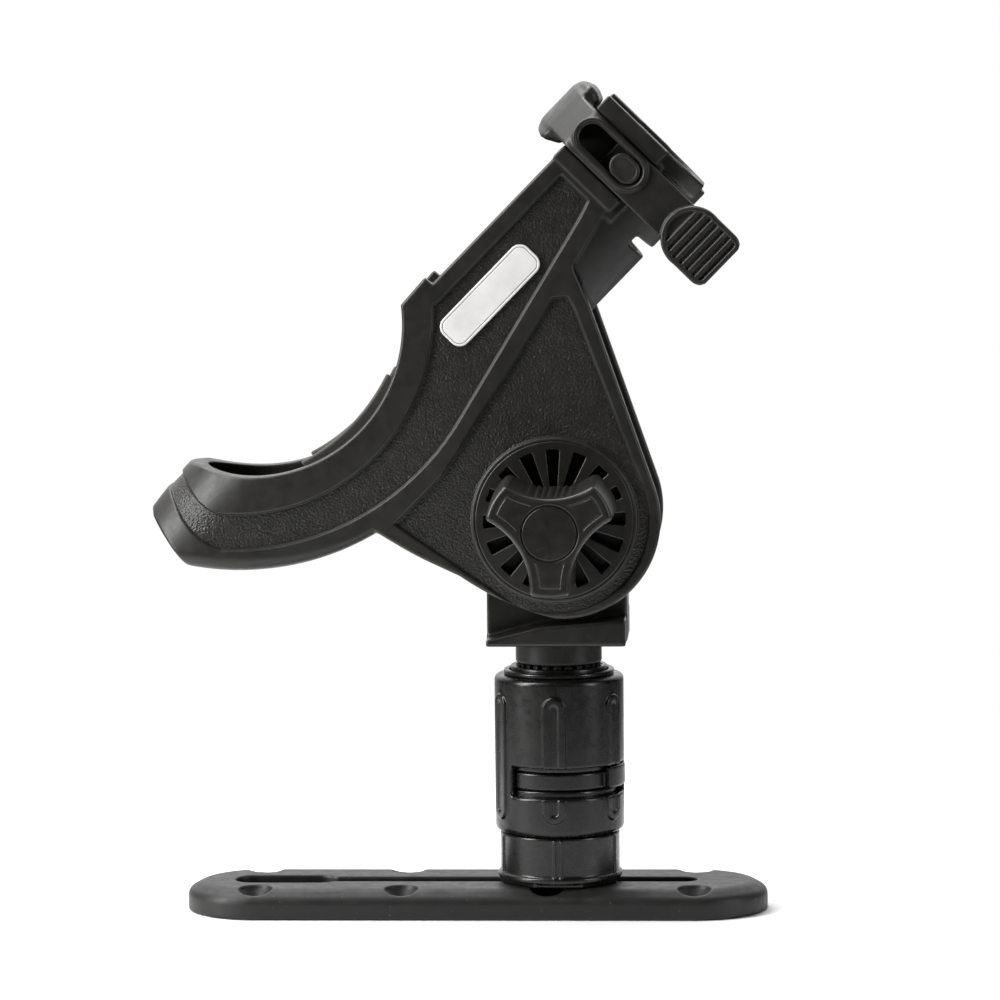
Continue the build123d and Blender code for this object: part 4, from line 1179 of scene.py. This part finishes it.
def make_floor():
    mesh = bpy.data.meshes.new("floor")
    rings, sides = 24, 96
    points = [(0.0, 0.0, 0.0)]
    for ring in range(1, rings + 1):
        reach = FLOOR_HALF * (ring / rings) ** 1.5
        angles = [math.tau * k / sides for k in range(sides)]
        points += [(reach * math.cos(angle), reach * math.sin(angle), 0.0) for angle in angles]
    faces = [(0, 1 + k, 1 + (k + 1) % sides) for k in range(sides)]
    for ring in range(rings - 1):
        inner, outer = 1 + ring * sides, 1 + (ring + 1) * sides
        for k in range(sides):
            faces.append((inner + k, outer + k, outer + (k + 1) % sides, inner + (k + 1) % sides))
    mesh.from_pydata(points, [], faces)
    floor = bpy.data.objects.new("floor", mesh)
    bpy.context.scene.collection.objects.link(floor)
    floor.location.z = -FLOOR_GAP
    material, tree, shader, place = start_material("pale_floor")
    tone = noise(tree, place, 9.0, 3.0)
    tree.links.new(blend_colour(tree, tone, grey(0.90), grey(0.94)), shader.inputs["Base Color"])
    shader.inputs["Roughness"].default_value = 0.9
    shader.inputs["Specular IOR Level"].default_value = 0.1
    # The floor fades into the white surroundings
    distance = node(tree, "VectorMath", {"operation": "LENGTH"}, in0=place).outputs["Value"]
    fade = spread(tree, distance, 1.0, 0.0, FADE_START, FADE_END)
    tree.links.new(fade, shader.inputs["Alpha"])
    mesh.materials.append(material)


def make_surroundings():
    """White all round to the camera; as light, bright above, behind and to the left, and dim in front."""
    world = bpy.data.worlds.new("studio")
    bpy.context.scene.world = world
    world.use_nodes = True
    tree = world.node_tree
    tree.nodes.clear()
    direction = node(tree, "TexCoord").outputs["Generated"]
    facing = node(
        tree, "VectorMath", {"operation": "DOT_PRODUCT"}, in0=direction, in1=(-0.08, 0.78, 0.62)
    ).outputs["Value"]
    strength = spread(tree, facing, 0.02, 1.7, 0.5, 0.95)
    lit = node(tree, "Background", None, Color=(1.0, 1.0, 1.0, 1.0), Strength=strength)
    seen = node(tree, "Background", None, Color=(1.0, 1.0, 1.0, 1.0), Strength=1.0)
    camera_ray = node(tree, "LightPath").outputs["Is Camera Ray"]
    mixed = node(tree, "MixShader", None, in0=camera_ray, in1=lit.outputs[0], in2=seen.outputs[0])
    output = node(tree, "OutputWorld")
    tree.links.new(mixed.outputs[0], output.inputs[0])


def soft_box(name, place, aim, size, power):
    light = bpy.data.lights.new(name, "AREA")
    light.shape = "RECTANGLE"
    light.size, light.size_y = size
    light.energy = power
    lamp = bpy.data.objects.new(name, light)
    lamp.location = place
    lamp.rotation_euler = (Vector(aim) - Vector(place)).to_track_quat("-Z", "Y").to_euler()
    bpy.context.scene.collection.objects.link(lamp)
    return lamp


make_floor()
make_surroundings()
MIDDLE = (0.0, 0.0, 0.14)
soft_box("left_box", (-1.05, -0.5, 0.75), MIDDLE, (0.4, 1.4), 34.0)
soft_box("top_box", (-0.3, 0.3, 1.25), MIDDLE, (0.9, 0.9), 16.0)
soft_box("right_box", (1.0, -0.5, 0.4), MIDDLE, (0.2, 0.7), 4.0)

# The camera stands in front, a little to the right and above, and looks slightly down
CAMERA_PLACE = (0.09902, -1.64227, 0.30955)
CAMERA_TURN = math.radians(3.1311)
CAMERA_DROP = math.radians(5.7697)
CAMERA_ROLL = math.radians(-0.5319)
LENS = 171.215


def make_camera():
    camera_data = bpy.data.cameras.new("camera")
    camera_data.sensor_width = 36.0
    camera_data.lens = LENS
    camera_data.clip_start, camera_data.clip_end = 0.05, 60.0
    camera = bpy.data.objects.new("camera", camera_data)
    turn, drop, roll = CAMERA_TURN, CAMERA_DROP, CAMERA_ROLL
    look = Vector((-math.sin(turn) * math.cos(drop), math.cos(turn) * math.cos(drop), -math.sin(drop)))
    level = Vector((math.cos(turn), math.sin(turn), 0))
    rise = level.cross(look)
    right = level * math.cos(roll) + rise * math.sin(roll)
    up = rise * math.cos(roll) - level * math.sin(roll)
    axes = Matrix((right, up, -look)).transposed().to_4x4()
    camera.matrix_world = Matrix.Translation(CAMERA_PLACE) @ axes
    bpy.context.scene.collection.objects.link(camera)
    bpy.context.scene.camera = camera


make_camera()
bpy.context.scene.view_settings.view_transform = "Standard"

bpy.context.view_layer.update()
